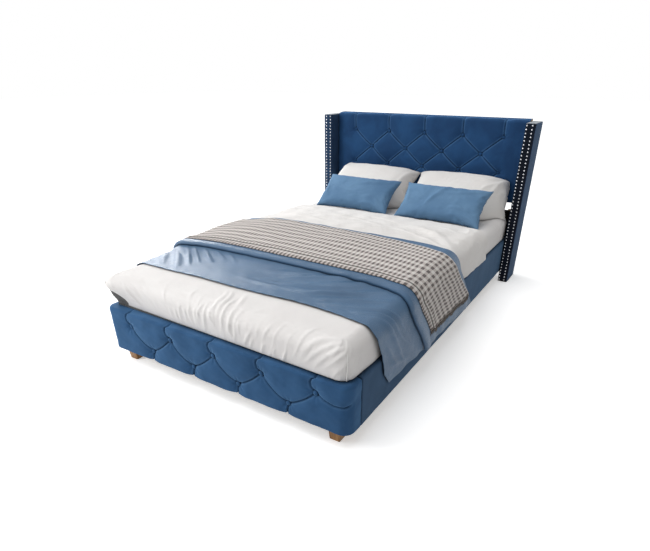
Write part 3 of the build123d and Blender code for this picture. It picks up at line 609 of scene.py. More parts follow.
def headboard_profile(levels, depth):
    """Side view of the pad at each level along its velvet: its place, and the way the velvet faces."""
    quarter = HEAD_EDGE * math.pi / 2
    low, high = PANEL_BOTTOM + HEAD_EDGE, PANEL_TOP - HEAD_EDGE
    ys, zs, ny, nz = [], [], [], []
    for v in levels:
        over = max(v - high, 0) + min(v - low, 0)
        angle = np.clip(over / HEAD_EDGE, -math.pi / 2, math.pi / 2)
        past = abs(over) - quarter
        zc = min(max(v, low), high)
        y = HEAD_FACE + HEAD_EDGE * (1 - math.cos(angle)) + max(past, 0)
        z = zc + HEAD_EDGE * math.sin(angle)
        ys.append(min(y, HEAD_FACE + depth))
        zs.append(z)
        ny.append(math.cos(angle))
        nz.append(-math.sin(angle))
    return [np.array(values)[:, None] for values in (ys, zs, ny, nz)]


def turned_over(edge, depth):
    """Rows of velvet over the top of the board, from the pad's upper edge back to the back cloth."""
    board_front, behind = HEAD_FACE + depth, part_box("headboard_back_cloth")[1].y
    rows = np.repeat(edge, 4, axis=0)
    for k, (y, rise) in enumerate(((board_front, 0.0012), (behind - 0.001, 0.0012), (behind, 0.0002),
                                   (board_front, 0.0002))):
        rows[k, :, 1] = y
        rows[k, :, 2] = PANEL_TOP + rise
    return rows


def headboard_pad():
    """Deep-buttoned upper panel of the headboard, its edges rounded, its velvet carried over the board."""
    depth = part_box("headboard_pad")[1].y - HEAD_FACE
    dx, dz = HEAD_SPACING / HEAD_CELLS[0], HEAD_PITCH / HEAD_CELLS[1]
    count = int(round(2 * WING_INNER / dx))
    xs = np.linspace(-WING_INNER, WING_INNER, count + 1)
    start = HEAD_TOP_ROW - dz * math.ceil((HEAD_TOP_ROW - PANEL_BOTTOM + 0.03) / dz)
    levels = np.arange(start, PANEL_TOP + 0.045, dz)
    ys, zs, ny, nz = headboard_profile(levels, depth)
    px, pv = np.meshgrid(xs, levels)
    pleats = [list(pair) for pair in diagonals(head_rows)]
    pleats += [[(x, z), (x, PANEL_TOP + 0.06)] for x, z in head_rows[0]]
    pleats += [[(x, z), (x, PANEL_BOTTOM - 0.06)] for x, z in head_rows[-1]]
    buttons = [place for row in head_rows for place in row]
    sunk, lips = tufting(px, pv, pleats, buttons, HEAD_LOBE, HEAD_CREASE, HEAD_DIMPLE)
    sunk += HEAD_WAVE * waves(px, pv, size=0.16, seed=3)
    ends = smoothstep(np.abs(px), WING_INNER - 0.012, WING_INNER)
    sunk = np.maximum(sunk * (1 - 0.6 * ends), 0.0) + END_TUCK * ends
    sunk = sunk * (1 - smoothstep(ys, HEAD_FACE + depth * 0.55, HEAD_FACE + depth))
    points = np.empty((len(levels), len(xs), 3))
    points[:, :, 0] = px
    points[:, :, 1] = ys + sunk * ny
    points[:, :, 2] = zs + sunk * nz
    flat_back = points[[-1, 0]].copy()
    flat_back[:, :, 1] = HEAD_FACE + depth
    points = np.concatenate([points, turned_over(flat_back[:1], depth), flat_back])
    mesh = grid_mesh("headboard_tufting", points, wrap_rows=True, caps=True)
    # Painted highlight beside the headboard's pleats
    store_pleat_highlight(mesh, lips, 1.0)
    obj = add_object("headboard_tufting", mesh, "bed_frame", "headboard_pad")
    obj.data.materials.append(headboard_velvet)
    seat = HEAD_FACE + HEAD_CREASE + HEAD_DIMPLE - HEAD_SEAT
    knobs = button_mesh("headboard_knobs", buttons, seat)
    knobs = add_object("headboard_knobs", knobs, "bed_frame", "headboard_buttons")
    knobs.data.materials.append(headboard_velvet)


headboard_pad()

# Footboard pad
FOOT_SPACING = 0.246
FOOT_PITCH = 0.090
FOOT_TOP_ROW = RAIL_TOP - 0.072
FOOT_CORNER = 0.045
FOOT_EDGE = 0.014
FOOT_LOBE = 0.062
FOOT_CREASE = 0.016
FOOT_DIMPLE = 0.006
FOOT_DEPTH = 0.048
FOOT_STEP = 0.0031
FOOT_SEAT = 0.003
FOOT_WAVE = 0.0011
FLAP = 0.060
RAIL_INNER = 0.600
PAD_FRONT = 0.028
PAD_SIDE = 0.010
RAIL_ROUND = 0.010
foot_rows = [
    button_row(5, FOOT_SPACING, FOOT_TOP_ROW),
    button_row(4, FOOT_SPACING, FOOT_TOP_ROW - FOOT_PITCH),
]


def footboard_outline(step):
    """Plan of the footboard's outside from seam to seam: points, normals, place along it."""
    side = RAIL_OUTER
    straight = SEAM_Y - FRONT - FOOT_CORNER
    quarter = FOOT_CORNER * math.pi / 2
    half = side - FOOT_CORNER
    total = half + quarter + straight
    count = int(round(2 * total / step))
    s = np.linspace(-total, total, count + 1)
    a = np.abs(s)
    sign = np.sign(s)
    angle = np.clip((a - half) / FOOT_CORNER, 0, math.pi / 2)
    past = np.clip(a - half - quarter, 0, None)
    x = np.where(a < half, a, half + FOOT_CORNER * np.sin(angle)) * sign
    y = FRONT + FOOT_CORNER * (1 - np.cos(angle)) + past
    return s, x, y, np.sin(angle) * sign, -np.cos(angle)


def footboard_pleats():
    """Sagging diagonals, pleats that curl over the top edge, short ones below, end seams."""
    upper, lower = foot_rows
    pleats = []
    for a, b in diagonals(foot_rows):
        middle = ((a[0] + b[0]) / 2 + (a[0] - b[0]) * 0.04, (a[1] + b[1]) / 2 - 0.005)
        pleats.append(curve_points(a, middle, b, 6))
    rise = RAIL_TOP - FOOT_TOP_ROW
    curl_shares = ((0.0, 0.0), (-0.24, 0.3), (-0.27, 0.62), (-0.12, 0.95), (0.1, 1.35))
    for x, z in upper:
        pleats.append([(x + rise * u, z + rise * v) for u, v in curl_shares])
    pleats += [[(x, z), (x - 0.004, RAIL_BOTTOM - 0.03)] for x, z in lower]
    reach = RAIL_OUTER - upper[-1][0]
    sag_shares = ((0.0, 0.0), (0.25, -0.09), (0.55, -0.15), (0.85, -0.13), (1.05, -0.06))
    x, z = upper[-1]
    pleats.append([(x + reach * u, z + reach * v) for u, v in sag_shares])
    return pleats


def footboard_pad():
    """Velvet wrap of the footboard: tufted front, round corners, flap down the inside."""
    s, x, y, nx, ny = footboard_outline(FOOT_STEP)
    inner_x = np.clip(x, -RAIL_INNER, RAIL_INNER)
    inner_y = np.maximum(y, FRONT + FOOT_DEPTH)
    on_side = smoothstep(np.abs(nx), 0.5, 1.0)
    pad = PAD_FRONT + (PAD_SIDE - PAD_FRONT) * on_side
    face = np.arange(RAIL_BOTTOM + 0.006, RAIL_TOP - FOOT_EDGE, FOOT_STEP)
    rows = []

    def row(inset, z, lean, level):
        """Points of one row, with how far its normal leans up and its tufting level."""
        base = np.stack([x - nx * inset, y - ny * inset, np.full(x.shape, z)], axis=1)
        level_share = math.cos(lean)
        normal = np.stack([nx * level_share, ny * level_share, np.full(x.shape, math.sin(lean))], axis=1)
        rows.append((base, normal, level))

    row(0.010, RAIL_BOTTOM, -1.4, RAIL_BOTTOM - 0.01)
    row(0.003, RAIL_BOTTOM + 0.001, -0.9, RAIL_BOTTOM - 0.004)
    row(0.0, RAIL_BOTTOM + 0.004, -0.2, RAIL_BOTTOM + 0.001)
    for z in face:
        row(0.0, z, 0.0, z)
    for angle in np.linspace(0, math.pi / 2, 8):
        inset = FOOT_EDGE * (1 - math.cos(angle))
        z = RAIL_TOP - FOOT_EDGE + FOOT_EDGE * math.sin(angle)
        row(inset, z, angle, RAIL_TOP - FOOT_EDGE + angle * FOOT_EDGE)
    pleats = footboard_pleats()
    buttons = foot_rows[0] + foot_rows[1]
    levels = np.array([r[2] for r in rows])
    ps, pv = np.meshgrid(s, levels)
    sunk, lips = tufting(ps, pv, pleats, buttons, FOOT_LOBE, FOOT_CREASE, FOOT_DIMPLE)
    sunk += FOOT_WAVE * waves(ps, pv, size=0.13, seed=11) + 0.0012
    room = (pad - 0.003)[None, :]
    sunk = np.clip(sunk, 0, room)
    ends = smoothstep(np.abs(ps), s[-1] - 0.006, s[-1])
    sunk = sunk + END_TUCK * ends
    base = np.array([r[0] for r in rows])
    normal = np.array([r[1] for r in rows])
    outer = base - normal * sunk[:, :, None]
    edge = outer[-1]
    inner = np.stack([inner_x, inner_y, np.full(x.shape, RAIL_TOP)], axis=1)
    # Over the top edge, down the inside, and back under the board
    top = []
    for t in (0.25, 0.5, 0.75):
        top.append(edge + (inner - edge) * t + np.array([0, 0, -0.0008 * math.sin(math.pi * t)]))
    rim = inner - np.array([0, 0, 0.0015])
    flap = inner - np.array([0, 0, FLAP])
    behind_x = inner_x + np.sign(nx) * (PAD_SIDE - 0.0005) * on_side
    behind_y = inner_y - 0.0008 * (1 - on_side)
    behind = np.stack([behind_x, behind_y, np.full(x.shape, RAIL_TOP - FLAP)], axis=1)
    lid = RAIL_TOP - PAD_SIDE + 0.0002
    under_top = behind.copy()
    under_top[:, 2] = lid
    board = np.stack([x - nx * (pad - 0.0005), y - ny * (pad - 0.0005), np.full(x.shape, lid)], axis=1)
    board_low = board.copy()
    board_low[:, 2] = RAIL_BOTTOM
    points = np.concatenate([outer, top, [rim, flap, behind, under_top, board, board_low]])
    mesh = grid_mesh("footboard_tufting", points, wrap_rows=True, caps=True)
    # Painted highlight beside the footboard's pleats, weaker than on the headboard
    store_pleat_highlight(mesh, lips, 0.35)
    obj = add_object("footboard_tufting", mesh, "bed_frame", "footboard_pad")
    obj.data.materials.append(footboard_velvet)
    seat = FRONT + FOOT_CREASE + FOOT_DIMPLE - FOOT_SEAT
    knobs = button_mesh("footboard_knobs", buttons, seat)
    knobs = add_object("footboard_knobs", knobs, "bed_frame", "footboard_buttons")
    knobs.data.materials.append(footboard_velvet)


footboard_pad()


# Rails and wings

# A rail's velvet: how far it lies in, its waves, the most it sinks, and how far its ends tuck in and turn
RAIL_SKIN = 0.0012
RAIL_WAVE = 0.0011
RAIL_SINK = 0.0035
RAIL_TUCK = 0.005
RAIL_TURN = 0.006


def rail_cover(side, name):
    """Padded velvet over the outside and top of one rail, softly crowned, with turned ends.

    The profile's rows are: inset from the outside, height, and which way the cloth faces, out and up.
    """
    low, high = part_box("rail_cover_" + name)
    start, end = low.y + 0.0006, high.y - 0.0006
    t = np.linspace(0, 1, 161)
    ys = start + (end - start) * (0.5 - 0.5 * np.cos(math.pi * np.clip(t, 0, 1)))
    turn = np.minimum(ys - start, end - ys)
    share = np.clip(turn / RAIL_TURN, 0, 1)
    tuck = RAIL_TUCK * (1 - np.sqrt(np.clip(1 - (1 - share) ** 2, 0, 1)))
    profile = [(0.004, RAIL_BOTTOM, 0.0, -1.0), (0.0012, RAIL_BOTTOM + 0.0012, -0.7, -0.7)]
    for z in np.linspace(RAIL_BOTTOM + 0.005, RAIL_TOP - 0.012, 26):
        profile.append((0.0, z, -1.0, 0.0))
    for angle in np.linspace(0.15, math.pi / 2, 7):
        inset = RAIL_ROUND * (1 - math.cos(angle))
        z = RAIL_TOP - RAIL_ROUND + RAIL_ROUND * math.sin(angle)
        profile.append((inset, z, -math.cos(angle), math.sin(angle)))
    inner = RAIL_OUTER - RAIL_INNER
    lid = RAIL_TOP - PAD_SIDE + 0.0002
    profile += [(0.022, RAIL_TOP, 0.0, 1.0), (inner - 0.004, RAIL_TOP - 0.0006, 0.4, 0.8),
                (inner - 0.0004, RAIL_TOP - 0.004, 1.0, 0.2), (inner, RAIL_TOP - 0.058, 1.0, 0.0),
                (inner - 0.0008, RAIL_TOP - FLAP, 0.0, -1.0),
                (inner - PAD_SIDE + 0.0004, RAIL_TOP - FLAP, 0.0, -1.0),
                (inner - PAD_SIDE + 0.0004, lid, 0.0, 0.0),
                (PAD_SIDE - 0.0004, lid, 0.0, 0.0),
                (PAD_SIDE - 0.0004, RAIL_BOTTOM, 0.0, 0.0)]
    points = np.empty((len(profile), len(ys), 3))
    for i, (inset, z, out, up) in enumerate(profile):
        outside = 1.0 if inset < 0.003 else 0.0
        sag = RAIL_WAVE * waves(ys, np.full(ys.shape, z), size=0.22, seed=21 + (side > 0)) * outside
        turned = min(1.0, abs(out) + abs(up)) if inset < 0.034 else 0.0
        give = tuck * turned + np.clip(RAIL_SKIN + sag, 0, RAIL_SINK) * outside
        points[i, :, 0] = side * (RAIL_OUTER - inset - give * abs(out))
        points[i, :, 1] = ys
        points[i, :, 2] = z - give * up * (0.6 if up > 0 else 0.0)
    points = points if side > 0 else points[:, ::-1]
    mesh = grid_mesh("rail_wrap_" + name, points, wrap_rows=True, caps=True)
    obj = add_object("rail_wrap_" + name, mesh, "bed_frame", "rail_cover_" + name)
    obj.data.materials.append(rail_velvet)


for hand, label in SIDES:
    rail_cover(hand, label)


def rounded_outline(x0, x1, y0, y1, radius, puff, per_side=22, corner=6):
    """Plan outline of a padded block: straight sides that swell a little, round corners."""
    points = []
    sides = [((x1 - radius, y0), (x0 + radius, y0), (0, -1)),
             ((x0, y0 + radius), (x0, y1 - radius), (-1, 0)),
             ((x0 + radius, y1), (x1 - radius, y1), (0, 1)),
             ((x1, y1 - radius), (x1, y0 + radius), (1, 0))]
    for i, (a, b, out) in enumerate(sides):
        for k in range(per_side + 1):
            t = k / per_side
            swell = puff * (4 * t * (1 - t)) ** 0.5
            points.append((a[0] + (b[0] - a[0]) * t + out[0] * swell,
                           a[1] + (b[1] - a[1]) * t + out[1] * swell))
        after = sides[(i + 1) % 4]
        centre = (b[0] - radius * out[0], b[1] - radius * out[1])
        angle = math.atan2(out[1], out[0])
        turn = math.atan2(after[2][1], after[2][0]) - angle
        turn = (turn + math.pi) % (2 * math.pi) - math.pi
        for k in range(1, corner):
            theta = angle + turn * k / corner
            points.append((centre[0] + radius * math.cos(theta), centre[1] + radius * math.sin(theta)))
    return np.array(points)


WING_SKIN = 0.0012
WING_EDGE = 0.006
WING_WAVE = 0.0006


def wing_cover(side, name):
    """Velvet over one wing: a pale top painted as sheen where it catches the light, soft edges, and on the
    right wing a dark nail band in front.
    """
    x0, x1 = sorted((side * WING_INNER, side * WING_OUTER))
    plan = rounded_outline(x0 + WING_SKIN, x1 - WING_SKIN, WING_FRONT + WING_SKIN, WING_BACK - WING_SKIN,
                           radius=0.005, puff=0.0011)
    centre = np.array([(x0 + x1) / 2, (WING_FRONT + WING_BACK) / 2])
    rows = []
    for z in np.linspace(WING_BOTTOM, WING_TOP - WING_EDGE, 90):
        rows.append(np.column_stack([plan, np.full(len(plan), z)]))
    for angle in np.linspace(0.3, math.pi / 2, 5):
        shrink = WING_EDGE * (1 - math.cos(angle))
        away = plan - centre
        pulled = plan - np.sign(away) * np.minimum(shrink, np.abs(away))
        z = WING_TOP - WING_EDGE + WING_EDGE * math.sin(angle)
        rows.append(np.column_stack([pulled, np.full(len(plan), z)]))
    rim = rows[-1][:, :2]
    for share in (0.8, 0.4, 0.1):
        z = WING_TOP - 0.0003 * (1 - share)
        rows.append(np.column_stack([centre + (rim - centre) * share, np.full(len(plan), z)]))
    points = np.array(rows)
    dent = WING_WAVE * waves(points[:, :, 1] + points[:, :, 0], points[:, :, 2], size=0.12, seed=31)
    body = (points[:, :, 2] < WING_TOP - 0.01)
    points[:, :, 0] -= np.sign(points[:, :, 0] - centre[0]) * np.clip(dent, 0, 0.001) * body
    mesh = grid_mesh("wing_wrap_" + name, points, wrap_columns=True)
    obj = add_object("wing_wrap_" + name, mesh, "bed_frame", "wing_cover_" + name)
    obj.data.materials.append(wing_velvet)
    obj.data.materials.append(band_velvet if side > 0 else wing_velvet)
    obj.data.materials.append(wing_top_painted_sheen)
    mend(obj.data, closed_above=-math.inf)
    for face in obj.data.polygons:
        # Faces turned up take the pale painted sheen; on the right wing the front takes the dark band
        face.material_index = 1 if face.normal.y < -0.75 else 2 if face.normal.z > 0.75 else 0


NAIL_PITCH = 0.0199
NAIL_RADIUS = 0.0045
NAIL_RISE = 0.0036
NAIL_INSET = 0.0095
NAIL_COLUMN = 0.0305


def nailheads(side, name):
    """Two columns of domed nailheads down the front of one wing."""
    rings = [(1.0, 0.0), (0.97, 0.35), (0.8, 0.72), (0.5, 0.93), (0.2, 1.0)]
    seat = WING_FRONT + 0.0008
    count = int((WING_TOP - WING_BOTTOM - NAIL_PITCH) / NAIL_PITCH)
    start = (WING_TOP + WING_BOTTOM - count * NAIL_PITCH) / 2
    verts, faces = [], []
    for column in range(2):
        for i in range(count + 1):
            x = side * (WING_INNER + NAIL_INSET + column * NAIL_COLUMN) + rng.normal(0, 0.0003)
            z = start + i * NAIL_PITCH + rng.normal(0, 0.0004)
            dome(verts, faces, (x, seat, z), NAIL_RADIUS, NAIL_RISE, rings, steps=14, pointed=False)
    mesh = new_mesh("nail_domes_" + name, verts, faces)
    obj = add_object("nail_domes_" + name, mesh, "bed_frame", "nailheads_" + name)
    obj.data.materials.append(nickel)


for hand, label in SIDES:
    wing_cover(hand, label)
    nailheads(hand, label)


# Black cloths on the panels

def stretched_sleeve():
    """Black cloth pulled round the lower panel, a little slack."""
    low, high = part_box("lower_panel_cloth")
    xs = np.linspace(low.x, high.x, 140)
    ring = []
    for z in np.linspace(low.z, high.z, 40):
        ring.append((low.y, z, -1))
    for y in np.linspace(low.y, high.y, 6)[1:-1]:
        ring.append((y, high.z, 0))
    for z in np.linspace(high.z, low.z, 40):
        ring.append((high.y, z, 1))
    for y in np.linspace(high.y, low.y, 6)[1:-1]:
        ring.append((y, low.z, 0))
    points = np.empty((len(ring), len(xs), 3))
    for i, (y, z, out) in enumerate(ring):
        give = 0.0006 * (1 + waves(xs, np.full(xs.shape, z), size=0.2, seed=41)) * abs(out)
        points[i, :, 0] = xs
        points[i, :, 1] = y - out * np.clip(give, 0, 0.0012)
        points[i, :, 2] = z
    mesh = grid_mesh("lower_sleeve", points, wrap_rows=True)
    obj = add_object("lower_sleeve", mesh, "bed_frame", "lower_panel_cloth")
    obj.data.materials.append(black_cloth)


def dust_cover():
    """Thin black cloth stapled over the back of the upper panel."""
    low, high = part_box("headboard_back_cloth")
    xs = np.linspace(low.x + 0.002, high.x - 0.002, 130)
    zs = np.linspace(low.z + 0.002, high.z - 0.002, 50)
    px, pz = np.meshgrid(xs, zs)
    edge = np.minimum(np.minimum(px - xs[0], xs[-1] - px), np.minimum(pz - zs[0], zs[-1] - pz))
    slack = 0.00008 * smoothstep(edge, 0.03, 0.12) * waves(px, pz, size=0.25, seed=43)
    staple = 0.0001 * np.cos(px * 2 * math.pi / 0.06) * np.exp(-edge / 0.012)
    points = np.stack([px, high.y - 0.0006 - slack - staple, pz], axis=-1)
    flat = np.stack([px, pz], axis=-1)
    mesh = grid_mesh("dust_cover", points[:, ::-1], flat=flat[:, ::-1])
    obj = add_object("dust_cover", mesh, "bed_frame", "headboard_back_cloth")
    obj.data.materials.append(black_cloth)
    solidify(obj, 0.0004)


stretched_sleeve()
dust_cover()


# Mattress

def soft_outline(half, front, back, radius, count_front, count_side):
    """Plan outline of the mattress, counter-clockwise from the middle of the foot."""
    pieces = []

    def line(a, b, n):
        t = np.linspace(0, 1, n, endpoint=False)[:, None]
        pieces.append(np.array(a) + (np.array(b) - np.array(a)) * t)

    def arc(cx, cy, start, n):
        t = np.linspace(0, math.pi / 2, n, endpoint=False) + start
        pieces.append(np.column_stack([cx + radius * np.cos(t), cy + radius * np.sin(t)]))

    corner = 26
    line((0, front), (half - radius, front), count_front)
    arc(half - radius, front + radius, -math.pi / 2, corner)
    line((half, front + radius), (half, back - radius), count_side)
    arc(half - radius, back - radius, 0, corner)
    line((half - radius, back), (-half + radius, back), 60)
    arc(-half + radius, back - radius, math.pi / 2, corner)
    line((-half, back - radius), (-half, front + radius), count_side)
    arc(-half + radius, front + radius, math.pi, corner)
    line((-half + radius, front), (0, front), count_front)
    return np.concatenate(pieces)


def outward(plan):
    """Unit normals of a closed plan outline that runs counter-clockwise."""
    along = np.roll(plan, -1, axis=0) - np.roll(plan, 1, axis=0)
    along /= np.linalg.norm(along, axis=1)[:, None]
    return np.column_stack([along[:, 1], -along[:, 0]])


# The mattress's rounded corners, and how its foot end stands askew: slope across and setback
BED_CORNER = 0.060
SKEW = 0.026
SETBACK = 0.0045
MATTRESS_ARC = 0.055
RECESS_HALF = 0.599


def foot_shift(x, y):
    """How far the foot end of the mattress stands askew: back at the left, forward at the right."""
    near = 1 - smoothstep(y - FRONT, 0.10, 0.50)
    return (-SKEW * np.clip(x, -0.6, 0.6) - SETBACK) * near


def corner_pull(points):
    """Points of the mattress or its sheet, with the left foot corner bulging out above the rail."""
    away = np.hypot((points[..., 0] + SHEET_HIGH.x) / 0.15, (points[..., 1] - SHEET_LOW.y) / 0.17)
    pull = np.exp(-away ** 2) * smoothstep(points[..., 2], RAIL_TOP + 0.012, SHEET_TOP - 0.025)
    return points + pull[..., None] * np.array([-0.010, -0.052, 0.0])


def mattress():
    """Knitted mattress: soft above the rails, bare at its left foot corner, flat in its recess."""
    half = MATTRESS_HIGH.x - 0.0015
    front, back = MATTRESS_LOW.y + 0.0015, MATTRESS_HIGH.y - 0.0006
    rows = []
    plan = soft_outline(half, front, back, BED_CORNER, count_front=60, count_side=90)
    normal = outward(plan)
    seat = np.column_stack([np.clip(plan[:, 0], -RECESS_HALF, RECESS_HALF),
                            np.maximum(plan[:, 1], FRONT + FOOT_DEPTH + 0.001)])
    # Flat base and sides in the recess
    base = MATTRESS_LOW.z
    for share in (0.05, 0.4, 0.8, 0.97):
        rows.append((seat * share + (1 - share) * np.array([0, seat[:, 1].mean()]), base + 0.0005))
    rows.append((seat, base + 0.004))
    for z in np.linspace(base + 0.02, RAIL_TOP - 0.002, 5):
        rows.append((seat, z))
    # Sides above the rails, round upper edge and flat top
    low = RAIL_TOP + 0.006
    top = MATTRESS_HIGH.z
    for t, inset in ((0.0, 0.0130), (0.12, 0.0095), (0.3, 0.0060), (0.5, 0.0030), (0.62, 0.0015)):
        rows.append((plan - normal * inset, low + (top - low) * t))
    for angle in np.linspace(0.1, math.pi / 2, 9):
        z = top - MATTRESS_ARC + MATTRESS_ARC * math.sin(angle)
        rows.append((plan - normal * MATTRESS_ARC * (1 - math.cos(angle)), z))
    centre = np.array([0, plan[:, 1].mean()])
    lid = rows[-1][0] * 0.9 + (1 - 0.9) * centre
    rows.append((lid, top))
    for share in (0.6, 0.3, 0.05):
        rows.append((lid * share + (1 - share) * centre, top))
    points = np.array([np.column_stack([xy, np.full(len(xy), z)]) for xy, z in rows])
    proud = points[:, :, 2] > RAIL_TOP
    points[:, :, 1] += foot_shift(points[:, :, 0], points[:, :, 1]) * proud
    # The bare left foot corner stands out from under the sheet
    bare = np.exp(-np.hypot((points[:, :, 0] + half) / 0.080, (points[:, :, 1] - front) / 0.13) ** 2)
    bare = bare * (1 - smoothstep(points[:, :, 2], RAIL_TOP + 0.035, RAIL_TOP + 0.105)) * proud
    points[:, :, :2] += bare[:, :, None] * np.array([-0.015, -0.026])
    mesh = grid_mesh("mattress_form", corner_pull(points), wrap_columns=True)
    obj = add_object("mattress_form", mesh, "mattress_set", "mattress")
    mend(obj.data, closed_above=-math.inf)
    obj.data.materials.append(mattress_knit)


mattress()

# Fitted sheet

SHEET_ARC = 0.055
SHEET_RISE = SHEET_TOP - SHEET_ARC - SHEET_LOW.z
SHEET_OVER = SHEET_RISE + SHEET_ARC * math.pi / 2

# Strokes of the sheet: start, middle and end across the foot and up from the hem, half-width, height
sheet_strokes = [
    ((0.625, 0.163), (0.50, 0.135), (0.426, 0.045), 0.011, 0.0034),
    ((0.605, 0.146), (0.53, 0.118), (0.442, 0.030), 0.008, 0.0034),
    ((0.611, 0.131), (0.55, 0.100), (0.482, 0.022), 0.008, 0.0032),
    ((0.609, 0.114), (0.58, 0.090), (0.528, 0.034), 0.007, 0.0028),
    ((0.612, 0.100), (0.60, 0.062), (0.565, 0.022), 0.007, 0.0020),
    ((0.108, 0.101), (0.094, 0.052), (0.116, 0.002), 0.008, 0.0030),
    ((0.148, 0.119), (0.141, 0.080), (0.138, 0.051), 0.007, 0.0020),
    ((0.196, 0.082), (0.180, 0.050), (0.157, 0.014), 0.008, 0.0028),
    ((0.210, 0.063), (0.198, 0.034), (0.185, 0.008), 0.006, 0.0020),
    ((0.262, 0.052), (0.252, 0.030), (0.241, 0.004), 0.007, 0.0026),
    ((0.311, 0.050), (0.305, 0.030), (0.299, 0.004), 0.006, 0.0018),
    ((0.358, 0.038), (0.351, 0.022), (0.343, 0.004), 0.006, 0.0018),
    ((-0.600, 0.110), (-0.592, 0.060), (-0.575, 0.010), 0.006, 0.0016),
    ((-0.590, 0.107), (-0.555, 0.072), (-0.526, 0.008), 0.007, 0.0020),
    ((-0.565, 0.127), (-0.489, 0.095), (-0.452, 0.019), 0.008, 0.0022),
    ((-0.542, 0.137), (-0.449, 0.104), (-0.395, 0.022), 0.008, 0.0022),
    ((-0.513, 0.149), (-0.400, 0.107), (-0.330, 0.023), 0.009, 0.0020),
    ((-0.480, 0.152), (-0.370, 0.112), (-0.290, 0.030), 0.009, 0.0014),
    ((-0.243, 0.072), (-0.240, 0.045), (-0.233, 0.014), 0.007, 0.0018),
    ((-0.205, 0.080), (-0.206, 0.050), (-0.204, 0.010), 0.006, 0.0018),
    ((-0.174, 0.102), (-0.181, 0.067), (-0.185, 0.003), 0.007, 0.0024),
    ((-0.146, 0.092), (-0.148, 0.060), (-0.147, 0.018), 0.006, 0.0022),
    ((-0.117, 0.105), (-0.124, 0.067), (-0.110, 0.017), 0.007, 0.0028),
    ((-0.079, 0.121), (-0.088, 0.077), (-0.094, 0.018), 0.007, 0.0028),
    ((-0.049, 0.135), (-0.064, 0.100), (-0.079, 0.050), 0.007, 0.0028),
    ((-0.028, 0.149), (-0.037, 0.080), (-0.050, 0.012), 0.007, 0.0030),
    ((0.010, 0.146), (-0.002, 0.100), (0.014, 0.044), 0.007, 0.0030),
    ((-0.014, 0.205), (0.006, 0.150), (0.012, 0.083), 0.008, 0.0026),
    ((-0.036, 0.262), (0.000, 0.200), (0.026, 0.130), 0.010, 0.0024),
    ((-0.025, 0.282), (0.030, 0.180), (0.028, 0.087), 0.010, 0.0028),
    ((0.050, 0.215), (0.062, 0.120), (0.042, 0.030), 0.008, 0.0032),
    ((0.102, 0.160), (0.099, 0.105), (0.078, 0.038), 0.008, 0.0030),
    ((0.060, 0.262), (0.084, 0.210), (0.098, 0.165), 0.010, 0.0020),
]


# The sheet's ripples fade out round the corners, between these lengths from the middle of the foot
RIPPLES_FADE = (0.64, 0.80)
HEM_DRAWN = 0.092
SHEET_SINK = 0.0024
SHEET_WAVE = 0.0007
SHEET_GATHERS = 0.0026
SHEET_RIDGES = 1.5
SEAM_HEIGHT = 0.0042
SEAM_TURN = 46
SEAM_TOP = 0.116


def sheet_hem(s):
    """How far up the hem is drawn at the left corner, where the mattress shows."""
    return HEM_DRAWN * smoothstep(-s, 0.574, 0.606) * (1 - smoothstep(-s, 0.70, 0.84))


